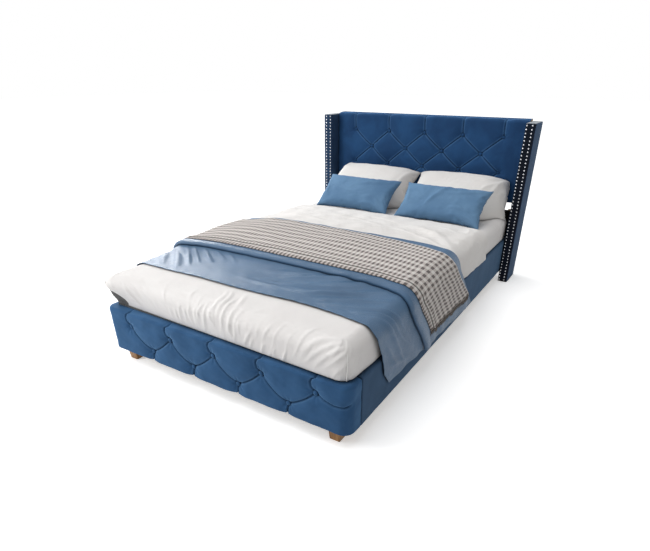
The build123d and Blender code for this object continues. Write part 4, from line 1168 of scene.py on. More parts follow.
def fitted_sheet():
    """Elastic sheet over the mattress: taut on top, rippled over the foot, with its corner seams."""
    half, front, back = SHEET_HIGH.x - 0.001, SHEET_LOW.y + 0.001, SHEET_HIGH.y - 0.0015
    plan = soft_outline(half, front, back, BED_CORNER, count_front=150, count_side=120)
    normal = outward(plan)
    along = np.concatenate([[0], np.cumsum(np.linalg.norm(np.diff(plan, axis=0), axis=1))])
    total = along[-1] + np.linalg.norm(plan[0] - plan[-1])
    along = np.where(along > total / 2, along - total, along)
    foot = 1 - smoothstep(np.abs(along), *RIPPLES_FADE)
    # Rows from the hem up and over the edge, then inwards over the top, finer near the edge
    stretch = np.concatenate([np.linspace(0, SHEET_OVER, 44), SHEET_OVER + np.linspace(0, 0.15, 34)[1:],
                              SHEET_OVER + np.array([0.19, 0.25, 0.33, 0.42, 0.50])])
    rows, flats = [], []
    mid = np.array([0.0, (front + back) / 2])
    rim = None
    for w in stretch:
        if w <= SHEET_OVER:
            v = sheet_hem(along) + (SHEET_OVER - sheet_hem(along)) * w / SHEET_OVER
        else:
            v = np.full(along.shape, w)
        over = np.clip((v - SHEET_RISE) / SHEET_ARC, 0, math.pi / 2)
        tuck = (0.002 + 0.007 * foot) * np.clip(1 - v / SHEET_RISE, 0, 1) ** 1.3
        inset = SHEET_ARC * (1 - np.cos(over)) + tuck
        z = SHEET_LOW.z + np.minimum(v, SHEET_RISE) + SHEET_ARC * np.sin(over)
        place = plan - normal * inset[:, None]
        if w > SHEET_OVER:
            past = w - SHEET_OVER
            shrink = np.array([1 - past / (half - SHEET_ARC), 1 - past / ((back - front) / 2 - SHEET_ARC)])
            place = mid + (rim - mid) * shrink
        else:
            rim = place
        level = np.where(np.abs(place[:, 0]) < half - BED_CORNER, place[:, 0], along)
        ridge = SHEET_RIDGES * creases(level, v, sheet_strokes) * foot
        wave = np.clip(waves(level, v, size=0.16, seed=51), -1, 1)
        soft = SHEET_WAVE * (1 + wave) * smoothstep(v, 0.02, 0.12)
        fanned = level + 0.5 * (v - 0.1) * np.tanh(-4 * level)
        gathers = waves(fanned, 0.2 * v, size=0.046, seed=52, octaves=2)
        low_down = smoothstep(v, -0.01, 0.02) * (1 - smoothstep(v, 0.09, 0.25))
        gathers = SHEET_GATHERS * np.clip(gathers, 0, 1.2) ** 1.5 * low_down
        push = ridge + soft * (1 - smoothstep(place[:, 1], back - 0.04, back - 0.005)) + gathers * foot
        point = np.column_stack([place + normal * (push * np.cos(over))[:, None],
                                 z + (push - SHEET_SINK) * np.sin(over)])
        point[:, 1] += foot_shift(point[:, 0], point[:, 1])
        rows.append(corner_pull(point))
        flats.append(np.column_stack([level, v]))
    mesh = grid_mesh("sheet_cloth", np.array(rows), wrap_columns=True, flat=np.array(flats))
    mend(mesh, closed_above=SHEET_TOP - 0.01)
    obj = add_object("sheet_cloth", mesh, "mattress_set", "fitted_sheet")
    obj.data.materials.append(sheet_cotton)
    solidify(obj, 0.001)
    seams = [corner_seam(hand) for hand in (-1, 1)]


def corner_seam(side):
    """The raised seam at one foot corner of the fitted sheet."""
    centre = np.array([SHEET_HIGH.x - BED_CORNER, SHEET_LOW.y + BED_CORNER])
    angle = math.radians(SEAM_TURN)
    out = np.array([math.sin(angle), -math.cos(angle)])
    across = np.array([math.cos(angle), math.sin(angle)])
    steps = 26
    verts = []
    first = 0.094 if side < 0 else 0.001
    for i in range(steps + 1):
        v = first + (SEAM_TOP - first) * i / steps
        over = max(0.0, (v - SHEET_RISE) / SHEET_ARC)
        inset = SHEET_ARC * (1 - math.cos(over)) + 0.009 * max(0.0, 1 - v / SHEET_RISE) ** 1.3
        z = SHEET_LOW.z + min(v, SHEET_RISE) + SHEET_ARC * math.sin(over)
        high = SEAM_HEIGHT * min(1.0, 6 * (1 - i / steps) + 0.15)
        for shift, rise in ((-0.0026, 0.0), (-0.0018, high), (0.0018, high), (0.0026, 0.0)):
            place = centre + out * (BED_CORNER - inset + rise) + across * shift
            x = side * place[0]
            verts.append((x, place[1] + float(foot_shift(np.array(x), np.array(place[1]))), z))
    points = corner_pull(np.array(verts).reshape(steps + 1, 4, 3))
    mesh = grid_mesh("corner_seam", points, wrap_columns=True, caps=True)
    obj = add_object("corner_seam_" + ("right" if side > 0 else "left"), mesh, "mattress_set")
    obj.data.materials.append(seam_cotton)
    return obj


fitted_sheet()


# Covers: one surface that every layer follows, with a flat top, round shoulders and hanging sides

FINE_STRETCH = 0.30
SHOULDER = 0.062
COVER_HALF = DUVET_HIGH.x
TURN = COVER_HALF - SHOULDER
ROUND = SHOULDER * math.pi / 2
HANG = 0.27
REACH = TURN + ROUND + HANG
CROWN = 0.36
COVER_RIDGES = 1.9
DUVET_RIDGES = 1.4

# How deep the covers sink towards the bed's left side
LEFT_SINK = 0.018

# How far each layer lies off the one below: the coverlet, its fold, the throw and its fold
COVERLET_OFF = 0.0012
FOLD_OFF = 0.0030
THROW_OFF = 0.0032
THROW_FOLD_OFF = 0.0034
FINE = np.arange(0.0, 1.9, 0.01)


def softened(places, values):
    """A table read every centimetre, with its corners rounded off."""
    level = np.interp(FINE, places, values)
    kernel = np.exp(-np.arange(-4, 5) ** 2 / 8.0)
    return np.convolve(np.pad(level, 4, mode="edge"), kernel / kernel.sum(), mode="valid")


LOFT = softened((0.10, 0.378, 0.437, 0.501, 0.607, 0.742, 0.883, 1.035, 1.264, 1.458, 1.552),
                (0.0005, 0.006, 0.023, 0.037, 0.045, 0.050, 0.0465, 0.042, 0.032, 0.022, 0.015))
HEM = softened((0.38, 0.624, 0.809, 1.0, 1.25), (0.137, 0.122, 0.121, 0.109, 0.1))


def on_bed(a, d, lift):
    """Points on the covers: a across the bed along the cloth, d from the foot, lift off the duvet."""
    a, d, lift = np.broadcast_arrays(a, d, lift)
    t = np.abs(a)
    over = np.clip((t - TURN) / SHOULDER, 0, math.pi / 2)
    fall = np.clip((t - TURN - ROUND) / HANG, 0, None)
    height = np.interp(d, FINE, LOFT)
    drop = SHEET_TOP + height - SHOULDER
    inner = np.minimum(t, TURN)
    x = inner + (SHOULDER + lift) * np.sin(over)
    z = drop + (SHOULDER + lift) * np.cos(over) + CROWN * height * (1 - (inner / TURN) ** 2)
    z = z - fall * (drop - np.interp(d, FINE, HEM))
    sink = np.minimum(LEFT_SINK, 0.42 * height) * smoothstep(-a, 0.38, 0.62) * smoothstep(d, 0.40, 0.56)
    z = z - sink * (1 - np.clip(fall, 0, 1))
    return np.stack([np.sign(a) * x, FRONT + d, z], axis=-1)


def edge(table):
    """A line across the bed. A table that stops short at the left takes its right end there, mirrored."""
    right = [(a, d) for a, d in table if a > 0.6]
    left = [(-a, d) for a, d in reversed(right)] if table[0][0] > -0.7 else []
    places, values = zip(*(left + list(table)))
    fine = np.linspace(-REACH, REACH, 400)
    level = np.interp(fine, places, values)
    kernel = np.exp(-np.arange(-6, 7) ** 2 / 14.0)
    level = np.convolve(np.pad(level, 6, mode="edge"), kernel / kernel.sum(), mode="valid")
    return lambda a: np.interp(a, fine, level)


# Edges of the covers: places across the bed, and how far each edge lies from the foot there
cover_front = edge(((-0.946, 0.315), (-0.873, 0.264), (-0.749, 0.235), (-0.680, 0.205), (-0.620, 0.195),
                    (-0.556, 0.202), (-0.402, 0.202), (-0.226, 0.210), (-0.051, 0.205), (0.104, 0.209),
                    (0.244, 0.218), (0.370, 0.215), (0.476, 0.205), (0.555, 0.190), (0.611, 0.182),
                    (0.636, 0.178), (0.680, 0.191), (0.749, 0.221), (0.810, 0.236), (0.873, 0.250),
                    (0.946, 0.301)))
turn_front = edge(((-0.467, 0.456), (0.328, 0.454), (0.511, 0.453), (0.580, 0.443), (0.624, 0.438),
                   (0.662, 0.440), (0.736, 0.482), (0.811, 0.539), (0.884, 0.598), (0.946, 0.640)))
throw_front = edge(((-0.498, 0.488), (-0.235, 0.485), (0.003, 0.480), (0.309, 0.485), (0.489, 0.490),
                    (0.583, 0.480), (0.655, 0.492), (0.721, 0.545), (0.796, 0.614), (0.900, 0.700)))
throw_second = edge(((-0.531, 0.523), (0.288, 0.520), (0.475, 0.521), (0.572, 0.512), (0.620, 0.520),
                     (0.675, 0.545), (0.752, 0.620), (0.900, 0.735)))
throw_rear = edge(((-0.420, 0.945), (-0.206, 0.935), (0.425, 0.934), (0.534, 0.915), (0.600, 0.895),
                   (0.644, 0.905), (0.728, 1.019), (0.842, 1.170), (0.900, 1.240)))
cover_rear = edge(((-0.400, 0.985), (0.134, 0.980), (0.401, 0.994), (0.501, 0.990), (0.588, 0.976),
                   (0.658, 0.998), (0.761, 1.106), (0.946, 1.300)))
duvet_rear = edge(((-0.560, 1.545), (0.500, 1.545), (0.575, 1.520), (0.620, 1.512), (0.688, 1.520),
                   (0.759, 1.540)))

# Strokes of the coverlet and the duvet: start, middle and end across and along the bed, half-width, height
cover_strokes = [
    ((0.150, 0.340), (0.296, 0.392), (0.500, 0.480), 0.012, 0.0040),
    ((0.200, 0.300), (0.357, 0.343), (0.545, 0.440), 0.011, 0.0050),
    ((0.327, 0.274), (0.470, 0.335), (0.607, 0.395), 0.010, 0.0048),
    ((0.352, 0.250), (0.560, 0.300), (0.800, 0.470), 0.011, 0.0050),
    ((0.486, 0.252), (0.660, 0.315), (0.883, 0.509), 0.011, 0.0048),
    ((0.560, 0.232), (0.700, 0.305), (0.930, 0.440), 0.012, 0.0042),
    ((0.829, 0.291), (0.870, 0.360), (0.918, 0.500), 0.014, 0.0036),
    ((0.700, 0.240), (0.780, 0.290), (0.900, 0.360), 0.012, 0.0026),
    ((0.060, 0.370), (0.264, 0.432), (0.420, 0.478), 0.012, 0.0040),
    ((0.080, 0.320), (0.300, 0.375), (0.451, 0.441), 0.010, 0.0046),
    ((0.227, 0.280), (0.374, 0.346), (0.500, 0.395), 0.009, 0.0040),
    ((-0.100, 0.300), (0.100, 0.290), (0.300, 0.330), 0.014, 0.0022),
    ((-0.040, 0.390), (0.100, 0.410), (0.220, 0.450), 0.014, 0.0022),
    ((-0.590, 0.410), (-0.470, 0.310), (-0.390, 0.225), 0.015, 0.0040),
    ((-0.545, 0.440), (-0.450, 0.360), (-0.370, 0.280), 0.012, 0.0042),
    ((-0.500, 0.446), (-0.430, 0.390), (-0.360, 0.335), 0.011, 0.0040),
    ((-0.430, 0.446), (-0.355, 0.395), (-0.300, 0.360), 0.011, 0.0034),
    ((-0.360, 0.446), (-0.310, 0.425), (-0.255, 0.395), 0.010, 0.0026),
    ((-0.620, 0.380), (-0.540, 0.290), (-0.480, 0.230), 0.014, 0.0030),
    ((-0.280, 0.446), (-0.225, 0.420), (-0.180, 0.390), 0.010, 0.0016),
    ((-0.600, 0.260), (-0.760, 0.330), (-0.900, 0.460), 0.013, 0.0040),
    ((-0.600, 0.330), (-0.740, 0.400), (-0.900, 0.530), 0.012, 0.0040),
]
duvet_strokes = [
    ((0.250, 1.285), (0.430, 1.235), (0.600, 1.010), 0.030, 0.0070),
    ((0.210, 1.225), (0.395, 1.130), (0.600, 0.990), 0.012, 0.0030),
    ((-0.330, 1.290), (-0.078, 1.277), (0.160, 1.185), 0.018, 0.0032),
    ((-0.560, 1.200), (-0.300, 1.150), (-0.050, 1.090), 0.018, 0.0030),
    ((0.668, 1.060), (0.640, 1.205), (0.600, 1.420), 0.018, 0.0030),
    ((0.300, 1.450), (0.420, 1.400), (0.560, 1.330), 0.014, 0.0024),
    ((0.740, 1.150), (0.700, 1.300), (0.640, 1.450), 0.014, 0.0022),
    ((-0.200, 1.440), (0.000, 1.400), (0.200, 1.330), 0.018, 0.0024),
    ((0.520, 1.500), (0.560, 1.420), (0.560, 1.340), 0.010, 0.0022),
]


def duvet_lift(a, d):
    """The duvet's own swelling and the folds of its sides, shared by whatever lies on it."""
    full = smoothstep(d, 0.42, 0.60) * (1 - 0.6 * smoothstep(d, 1.35, 1.54))
    fall = np.clip((np.abs(a) - TURN - ROUND) / HANG, 0, None)
    folds = 0.0028 * fall * (1 + np.sin((d - 0.8 * HANG * fall) * 2 * math.pi / 0.13 + 2 * np.sin(d * 9)))
    return full * 0.0030 * (1 + waves(a, d, size=0.34, seed=61)) + folds


def under_lift(a, d):
    """Height of the coverlet's lower layer, wrinkled where it shows."""
    shown = 1 - smoothstep(d - turn_front(a), 0.0, 0.06)
    ridges = COVER_RIDGES * creases(a, d, cover_strokes) * shown
    ridges = ridges * smoothstep(d - cover_front(a), 0.0, 0.03)
    scallop = 0.0007 * (1 + np.sin(a * 2 * math.pi / 0.052 + 2 * np.sin(a * 7)))
    scallop = scallop * np.exp(-np.abs(d - cover_front(a)) / 0.02)
    pressed = 0.0010 * (1 + waves(a, d, size=0.12, seed=62)) * shown
    return duvet_lift(a, d) + COVERLET_OFF + ridges + scallop + pressed


def rolled(behind, height, radius, settle):
    """Profile of a folded edge: a quarter round at its front that settles further back."""
    s = np.clip(behind / radius, 0, 1)
    return height * np.sqrt(1 - (1 - s) ** 2) * (1 - 0.7 * smoothstep(behind, 0.02, settle))


def over_lift(a, d):
    """Height of the layer folded back over it, with its rolled front edge."""
    fold = rolled(d - turn_front(a), height=0.0155, radius=0.013, settle=0.13)
    return under_lift(a, d) + FOLD_OFF + fold


def throw_lift(a, d):
    """Height of the throw's lower layer."""
    fold = rolled(d - throw_front(a), height=0.0012, radius=0.006, settle=0.10)
    return over_lift(a, d) + THROW_OFF + fold


def throw_top_lift(a, d):
    """Height of the throw's upper layer."""
    fold = rolled(d - throw_second(a), height=0.0045, radius=0.006, settle=0.12)
    return throw_lift(a, d) + THROW_FOLD_OFF + fold


def stepped(length, fine, coarse):
    """Shares from 0 to 1 of a length, fine over its first stretch and coarse beyond."""
    spots = [0.0]
    while spots[-1] < length:
        spots.append(spots[-1] + (fine if spots[-1] < FINE_STRETCH else coarse))
    return np.minimum(np.array(spots) / length, 1.0)


def folded_sheet(name, width, front, rear, last, low_lift, high_lift, thickness, step, first_rows):
    """One cloth that lies flat, turns at its rear edge and comes back over itself."""
    count = int(round(2 * width / step))
    a = np.linspace(-width, width, count + 1)
    d0, d1, d2 = front(a), rear(a), last(a)
    middle = len(a) // 2
    rows, flats = [], []

    def add(d, lift, v):
        rows.append(on_bed(a, d, lift))
        flats.append(np.column_stack([a, np.full(a.shape, v)]))

    reach = float(d1[middle] - d0[middle])
    for share in first_rows:
        d = d0 + (d1 - d0) * share
        add(d, low_lift(a, d), reach * share)
    low, high = low_lift(a, d1), high_lift(a, d1)
    mid, half = (low + high) / 2, (high - low) / 2
    for angle in (0.2, 0.4, 0.6, 0.8):
        turn = angle * math.pi
        add(d1 + half * math.sin(turn) * 1.6, mid - half * math.cos(turn), reach + 0.004 * angle)
    back = float(d1[middle] - d2[middle])
    for share in 1 - stepped(back, fine=0.0035, coarse=0.014)[::-1]:
        d = d1 + (d2 - d1) * share
        add(d, high_lift(a, d), reach + 0.004 + back * share)
    mesh = grid_mesh(name, np.array(rows)[::-1], flat=np.array(flats)[::-1])
    obj = add_object(name, mesh, "mattress_set")
    solidify(obj, thickness, 0.0)
    return obj, (2 * width, reach + back + 0.004)


def coverlet():
    """Satin coverlet: over the duvet to both rails, turned back towards the foot at its rear fold."""
    shares = stepped(0.78, fine=0.0038, coarse=0.016)
    obj, flat = folded_sheet("coverlet_cloth", REACH, cover_front, cover_rear, turn_front, under_lift,
                             over_lift, thickness=0.0020, step=0.0050, first_rows=shares)
    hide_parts("coverlet")
    obj.data.materials.append(coverlet_satin)


THROW_REACH = TURN + ROUND + 0.196

# Yarns of the fringe: shortest and longest, thinnest and thickest, and their profile from root to tip
YARN_LENGTH = (0.016, 0.027)
YARN_RADIUS = (0.0014, 0.0023)
YARN_PROFILE = ((-0.45, 1.0), (0.10, 1.15), (0.50, 1.0), (0.8, 0.8), (1.0, 0.45))
YARN_SIDES = 5


def throw():
    """Checked throw across the coverlet, folded double, with yarn fringes on its two short hems."""
    shares = stepped(0.45, fine=0.0040, coarse=0.012)
    obj, flat = folded_sheet("throw_cloth", THROW_REACH, throw_front, throw_rear, throw_second, throw_lift,
                             throw_top_lift, thickness=0.0022, step=0.0045, first_rows=shares)
    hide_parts("throw")
    obj.data.materials.append(check_weave)
    fringes = [fringe(hand, label) for hand, label in SIDES]


def fringe(side, name):
    """Short dark yarn ends along one hem of the throw, in two uneven rows."""
    local = np.random.default_rng(90 + side)
    end = side * THROW_REACH
    verts, faces = [], []
    for lift, pitch in ((throw_lift, 0.0058), (throw_top_lift, 0.0050)):
        start = float(throw_front(end) if lift is throw_lift else throw_second(end)) + 0.004
        stop = float(throw_rear(end)) - 0.004
        for d in np.arange(start, stop, pitch):
            d = d + local.normal(0, 0.0009)
            length = local.uniform(*YARN_LENGTH)
            lean = local.normal(0, 0.0040)
            splay = local.uniform(-0.0004, 0.0026)
            radius = local.uniform(*YARN_RADIUS)
            place = np.array(end), np.array(d)
            root = on_bed(*place, lift(*place))
            first = len(verts)
            for share, swell in YARN_PROFILE:
                r = radius * swell
                centre = (root[0] + side * splay * max(share, 0), root[1] + lean * share + 0.004 * share,
                          root[2] - length * share)
                for k in range(YARN_SIDES):
                    angle = 2 * math.pi * k / YARN_SIDES + share
                    verts.append((centre[0] + r * math.cos(angle), centre[1] + r * math.sin(angle),
                                  centre[2]))
            faces += quads(len(YARN_PROFILE), YARN_SIDES, wrap_columns=True, first=first)
            faces.append(tuple(first + k for k in reversed(range(YARN_SIDES))))
            tip = len(verts) - YARN_SIDES
            faces.append(tuple(tip + k for k in range(YARN_SIDES)))
    mesh = new_mesh("fringe_" + name, verts, faces)
    obj = add_object("fringe_" + name, mesh, "mattress_set", "throw_tassels_" + name)
    obj.data.materials.append(fringe_yarn)
    return obj


DUVET_REACH = TURN + ROUND + 0.106
DUVET_FRONT = 0.372
DUVET_CLEAR = 0.0024
DUVET_SIDE = 0.0125

# How far from its edges the duvet is rounded: at its hems, its rear end and its hidden front
DUVET_HEM = 0.012
DUVET_TAIL = 0.020
DUVET_HEAD = 0.010


def duvet():
    """Soft white duvet: plump in the middle, rounded at its rear corners, thin where it is covered."""
    a = np.concatenate([-np.linspace(0, DUVET_REACH, 150)[::-1], np.linspace(0, DUVET_REACH, 150)[1:]])
    q = (DUVET_REACH - np.abs(a)) / DUVET_HEM
    hem = np.sqrt(1 - (1 - np.clip(q, 0, 1)) ** 2)
    shares = np.concatenate([np.linspace(0, 0.02, 5), np.linspace(0.02, 0.50, 40)[1:],
                             np.linspace(0.50, 0.975, 130)[1:], np.linspace(0.975, 1, 10)[1:]])
    outer, inner, flats = [], [], []
    for share in shares:
        d = DUVET_FRONT + (duvet_rear(a) - DUVET_FRONT) * share
        t = np.abs(a)
        over = np.clip((t - TURN) / SHOULDER, 0, math.pi / 2)
        height = np.interp(d, FINE, LOFT)
        top = height * (1 + CROWN * (1 - (np.minimum(t, TURN) / TURN) ** 2)) - DUVET_CLEAR
        side = smoothstep(over, 0, math.pi / 2)
        depth = top * (1 - side) + DUVET_SIDE * side
        behind = duvet_rear(a) - d
        visible = smoothstep(d - cover_rear(a), 0.0, 0.05)
        ridges = DUVET_RIDGES * creases(a, d, duvet_strokes) * visible
        tail = np.clip(behind / DUVET_TAIL, 0, 1)
        head = np.clip((d - DUVET_FRONT) / DUVET_HEAD, 0, 1)
        closing = np.sqrt(1 - (1 - tail) ** 2) * np.sqrt(1 - (1 - head) ** 2) * hem
        crumple = visible * 0.0018 * (1 + waves(a, d, size=0.10, seed=63))
        lift = duvet_lift(a, d) + ridges + crumple - 0.0008 * (1 - visible)
        low = np.minimum(-depth, lift - 0.001)
        middle = low + (lift - low) * 0.45
        outer.append(on_bed(a, d, middle + (lift - middle) * closing))
        inner.append(on_bed(a, d, middle + (low - middle) * closing))
        flats.append(np.column_stack([a, d]))
    outer, inner, flats = np.array(outer), np.array(inner), np.array(flats)
    points = np.concatenate([outer, inner[:, ::-1]], axis=1)
    flat = np.concatenate([flats, flats[:, ::-1]], axis=1)
    mesh = grid_mesh("duvet_form", points[::-1], wrap_columns=True, flat=flat[::-1])
    mend(mesh, join=0.00002)
    obj = add_object("duvet_form", mesh, "mattress_set", "duvet")
    obj.data.materials.append(duvet_cotton)


duvet()
coverlet()
throw()


# Pillows: two rectangles sewn together and blown up by their filling

# Length, half-width, thickness, lean in degrees, and how flat the back is against what it leans on
WHITE_LENGTH = 0.392
WHITE_HALF = 0.303
WHITE_THICKNESS = 0.180
WHITE_LEAN = 30.5
WHITE_BACK = 0.75
BLUE_LENGTH = 0.277
BLUE_HALF = 0.257
BLUE_THICKNESS = 0.110
BLUE_LEAN = 39.0
BLUE_BACK = 0.45
PILLOW_FLOOR = SHEET_TOP + 0.0015
WHITE_RIDGES = 2.1
BLUE_RIDGES = 2.4
CLOTH_CELL = 0.0066
CLOTH_FRAMES = 15
CASE_PUFF = 0.022
CASE_ROUGH = 0.0016
CASE_SLACK = 1.03

# How a white pillow's lower corners slump: up its length, back, and the whole end back
CORNER_UP = 0.185
CORNER_BACK = 0.140
END_BACK = 0.012

# Gathers beside a cushion's seams: pitch and reach at its ends and at its long hems, and their height
END_GATHERS = (0.034, 0.040)
HEM_GATHERS = (0.041, 0.028)
GATHER_RISE = 0.0026


def case_mesh(width, length, cell, seed):
    """Two layers of cloth that share their border, puffed a little and uneven."""
    nx, ny = int(round(width / cell)), int(round(length / cell))
    local = np.random.default_rng(seed)
    i, j = np.meshgrid(np.arange(ny + 1), np.arange(nx + 1), indexing="ij")
    u, v = 2 * j / nx - 1, 2 * i / ny - 1
    dome_share = np.sqrt((1 - u ** 2) * (1 - v ** 2))
    rough = waves(u * width, v * length, 0.09, int(local.integers(1000)))
    inside = (i > 0) & (i < ny) & (j > 0) & (j < nx)
    index = np.arange((ny + 1) * (nx + 1)).reshape(ny + 1, nx + 1)
    under = np.full(index.shape, -1)
    under[inside] = index.size + np.arange(inside.sum())
    under = np.where(inside, under, index)
    z = dome_share * (CASE_PUFF + CASE_ROUGH * rough)
    upper = np.column_stack([(u * width / 2).ravel(), (v * length / 2).ravel(), z.ravel()])
    lower = upper[inside.ravel()] * (1, 1, -1)
    front = np.stack([index[:-1, :-1], index[:-1, 1:], index[1:, 1:], index[1:, :-1]], axis=-1)
    back = np.stack([under[:-1, :-1], under[1:, :-1], under[1:, 1:], under[:-1, 1:]], axis=-1)
    faces = np.vstack([front.reshape(-1, 4), back.reshape(-1, 4)]).tolist()
    border = np.concatenate([index[0], index[1:, -1], index[-1, :-1][::-1], index[1:-1, 0][::-1]])
    return np.vstack([upper, lower]), faces, border


def blown_up(points, faces):
    """Points of a case after a cloth simulation has filled it with pressure."""
    mesh = bpy.data.meshes.new("case")
    mesh.from_pydata(points.tolist(), [], faces)
    case = bpy.data.objects.new("case", mesh)
    bpy.context.scene.collection.objects.link(case)
    cloth = case.modifiers.new("cloth", "CLOTH")
    cloth.settings.quality = 6
    cloth.settings.bending_stiffness = 0.05
    cloth.settings.use_pressure = True
    cloth.settings.uniform_pressure_force = 4
    cloth.settings.effector_weights.gravity = 0
    cloth.collision_settings.use_collision = False
    cloth.point_cache.frame_start = 1
    cloth.point_cache.frame_end = CLOTH_FRAMES
    for step in range(1, CLOTH_FRAMES + 1):
        bpy.context.scene.frame_set(step)
    settled = case.evaluated_get(bpy.context.evaluated_depsgraph_get()).to_mesh()
    places = np.empty(len(points) * 3)
    settled.vertices.foreach_get("co", places)
    bpy.data.objects.remove(case)
    bpy.context.scene.frame_set(1)
    return places.reshape(-1, 3)


def stuffed(width, length, thickness, seed):
    """Points of a filled pillow, its faces and the points of its seam."""
    loose = 1 + 0.9 * (thickness / length) ** 2
    points, faces, border = case_mesh(width * CASE_SLACK, length * loose, CLOTH_CELL, seed)
    points = blown_up(points, faces)
    middle = (points.max(axis=0) + points.min(axis=0)) / 2
    size = np.array([width, length, thickness])
    return (points - middle) * (size / np.ptp(points, axis=0)), faces, border


def tipped(points, lean, centre):
    """Points of a pillow leaned back and moved to its place."""
    c, s = math.cos(math.radians(lean)), math.sin(math.radians(lean))
    x, y, z = points.T
    return np.column_stack([x, y * c - z * s, y * s + z * c]) + np.array(centre)


def pressed(values, limit, soft):
    """Values held above a limit, easing into it over a short way."""
    over = (values - limit) / soft
    return np.where(over > 8, values, limit + soft * np.log1p(np.exp(np.clip(over, -60, 8))))


def pillow(name, body, replaced, points, faces, border, material, seam_radius):
    """The mesh of one pillow, with its overlocked seam round the border."""
    verts = points.tolist()
    loop = points[border]
    along = np.roll(loop, -1, axis=0) - np.roll(loop, 1, axis=0)
    along /= np.linalg.norm(along, axis=1)[:, None]
    away = loop - points.mean(axis=0)
    away -= along * np.sum(away * along, axis=1)[:, None]
    away /= np.linalg.norm(away, axis=1)[:, None]
    third = np.cross(along, away)
    first = len(verts)
    for k in range(6):
        angle = 2 * math.pi * k / 6
        outwards = away * seam_radius * (0.3 + math.cos(angle))
        sideways = third * seam_radius * 0.7 * math.sin(angle)
        verts += (loop + outwards + sideways).tolist()
    faces = faces + quads(6, len(border), wrap_rows=True, wrap_columns=True, first=first)
    mesh = new_mesh(name, verts, faces)
    mend(mesh)
    obj = add_object(name, mesh, body, replaced)
    obj.data.materials.append(material)
    finer = obj.modifiers.new("finer", "SUBSURF")
    finer.levels = finer.render_levels = 1
    return obj


def pushed_off(points, others, gap):
    """Points of a soft piece moved out of the pieces it leans on."""
    for other_points, other_faces in others:
        tree = BVHTree.FromPolygons(other_points.tolist(), other_faces)
        moved = points.copy()
        for i, place in enumerate(points):
            near, normal, _, distance = tree.find_nearest(Vector(place), 0.09)
            if near is None:
                continue
            out = (Vector(place) - near).dot(normal)
            if out < 0 or distance < gap:
                moved[i] = np.array(near) + np.array(normal) * gap
        points = moved
    return points


# Strokes of the pillows: start, middle and end across and up the pillow, half-width, height
white_strokes = {
    "left": [
        ((0.285, 0.180), (0.235, 0.135), (0.120, 0.100), 0.012, 0.0040),
        ((0.282, 0.150), (0.240, 0.040), (0.235, -0.120), 0.013, 0.0050),
        ((-0.280, 0.175), (-0.230, 0.120), (-0.160, 0.090), 0.012, 0.0036),
    ],
    "right": [
        ((0.285, 0.185), (0.240, 0.080), (0.215, -0.130), 0.012, 0.0060),
        ((0.262, 0.170), (0.205, 0.120), (0.120, 0.100), 0.010, 0.0050),
        ((0.270, 0.150), (0.205, 0.060), (0.160, -0.010), 0.012, 0.0044),
        ((0.288, 0.100), (0.262, 0.010), (0.270, -0.100), 0.010, 0.0040),
        ((-0.285, 0.170), (-0.220, 0.140), (-0.130, 0.120), 0.012, 0.0036),
    ],
}
blue_strokes = {
    "right": [
        ((0.235, -0.120), (0.150, -0.095), (0.060, -0.100), 0.009, 0.0034),
        ((0.225, -0.095), (0.150, -0.055), (0.070, -0.050), 0.009, 0.0030),
        ((0.240, 0.110), (0.120, 0.060), (0.000, 0.050), 0.012, 0.0026),
        ((-0.245, 0.110), (-0.210, 0.020), (-0.190, -0.060), 0.010, 0.0022),
        ((0.060, 0.110), (-0.010, 0.060), (-0.060, -0.020), 0.012, 0.0026),
        ((0.020, 0.050), (-0.050, 0.000), (-0.080, -0.070), 0.011, 0.0022),
    ],
}
blue_strokes["left"] = [
    ((start[0] * (0.97 if k else 1.0), start[1]), middle, end, width, rise * 1.1)
    for k, (start, middle, end, width, rise) in enumerate(blue_strokes["right"][:4])
]
blue_strokes["left"].append(((-0.200, 0.020), (-0.100, -0.020), (0.020, -0.030), 0.014, 0.0024))


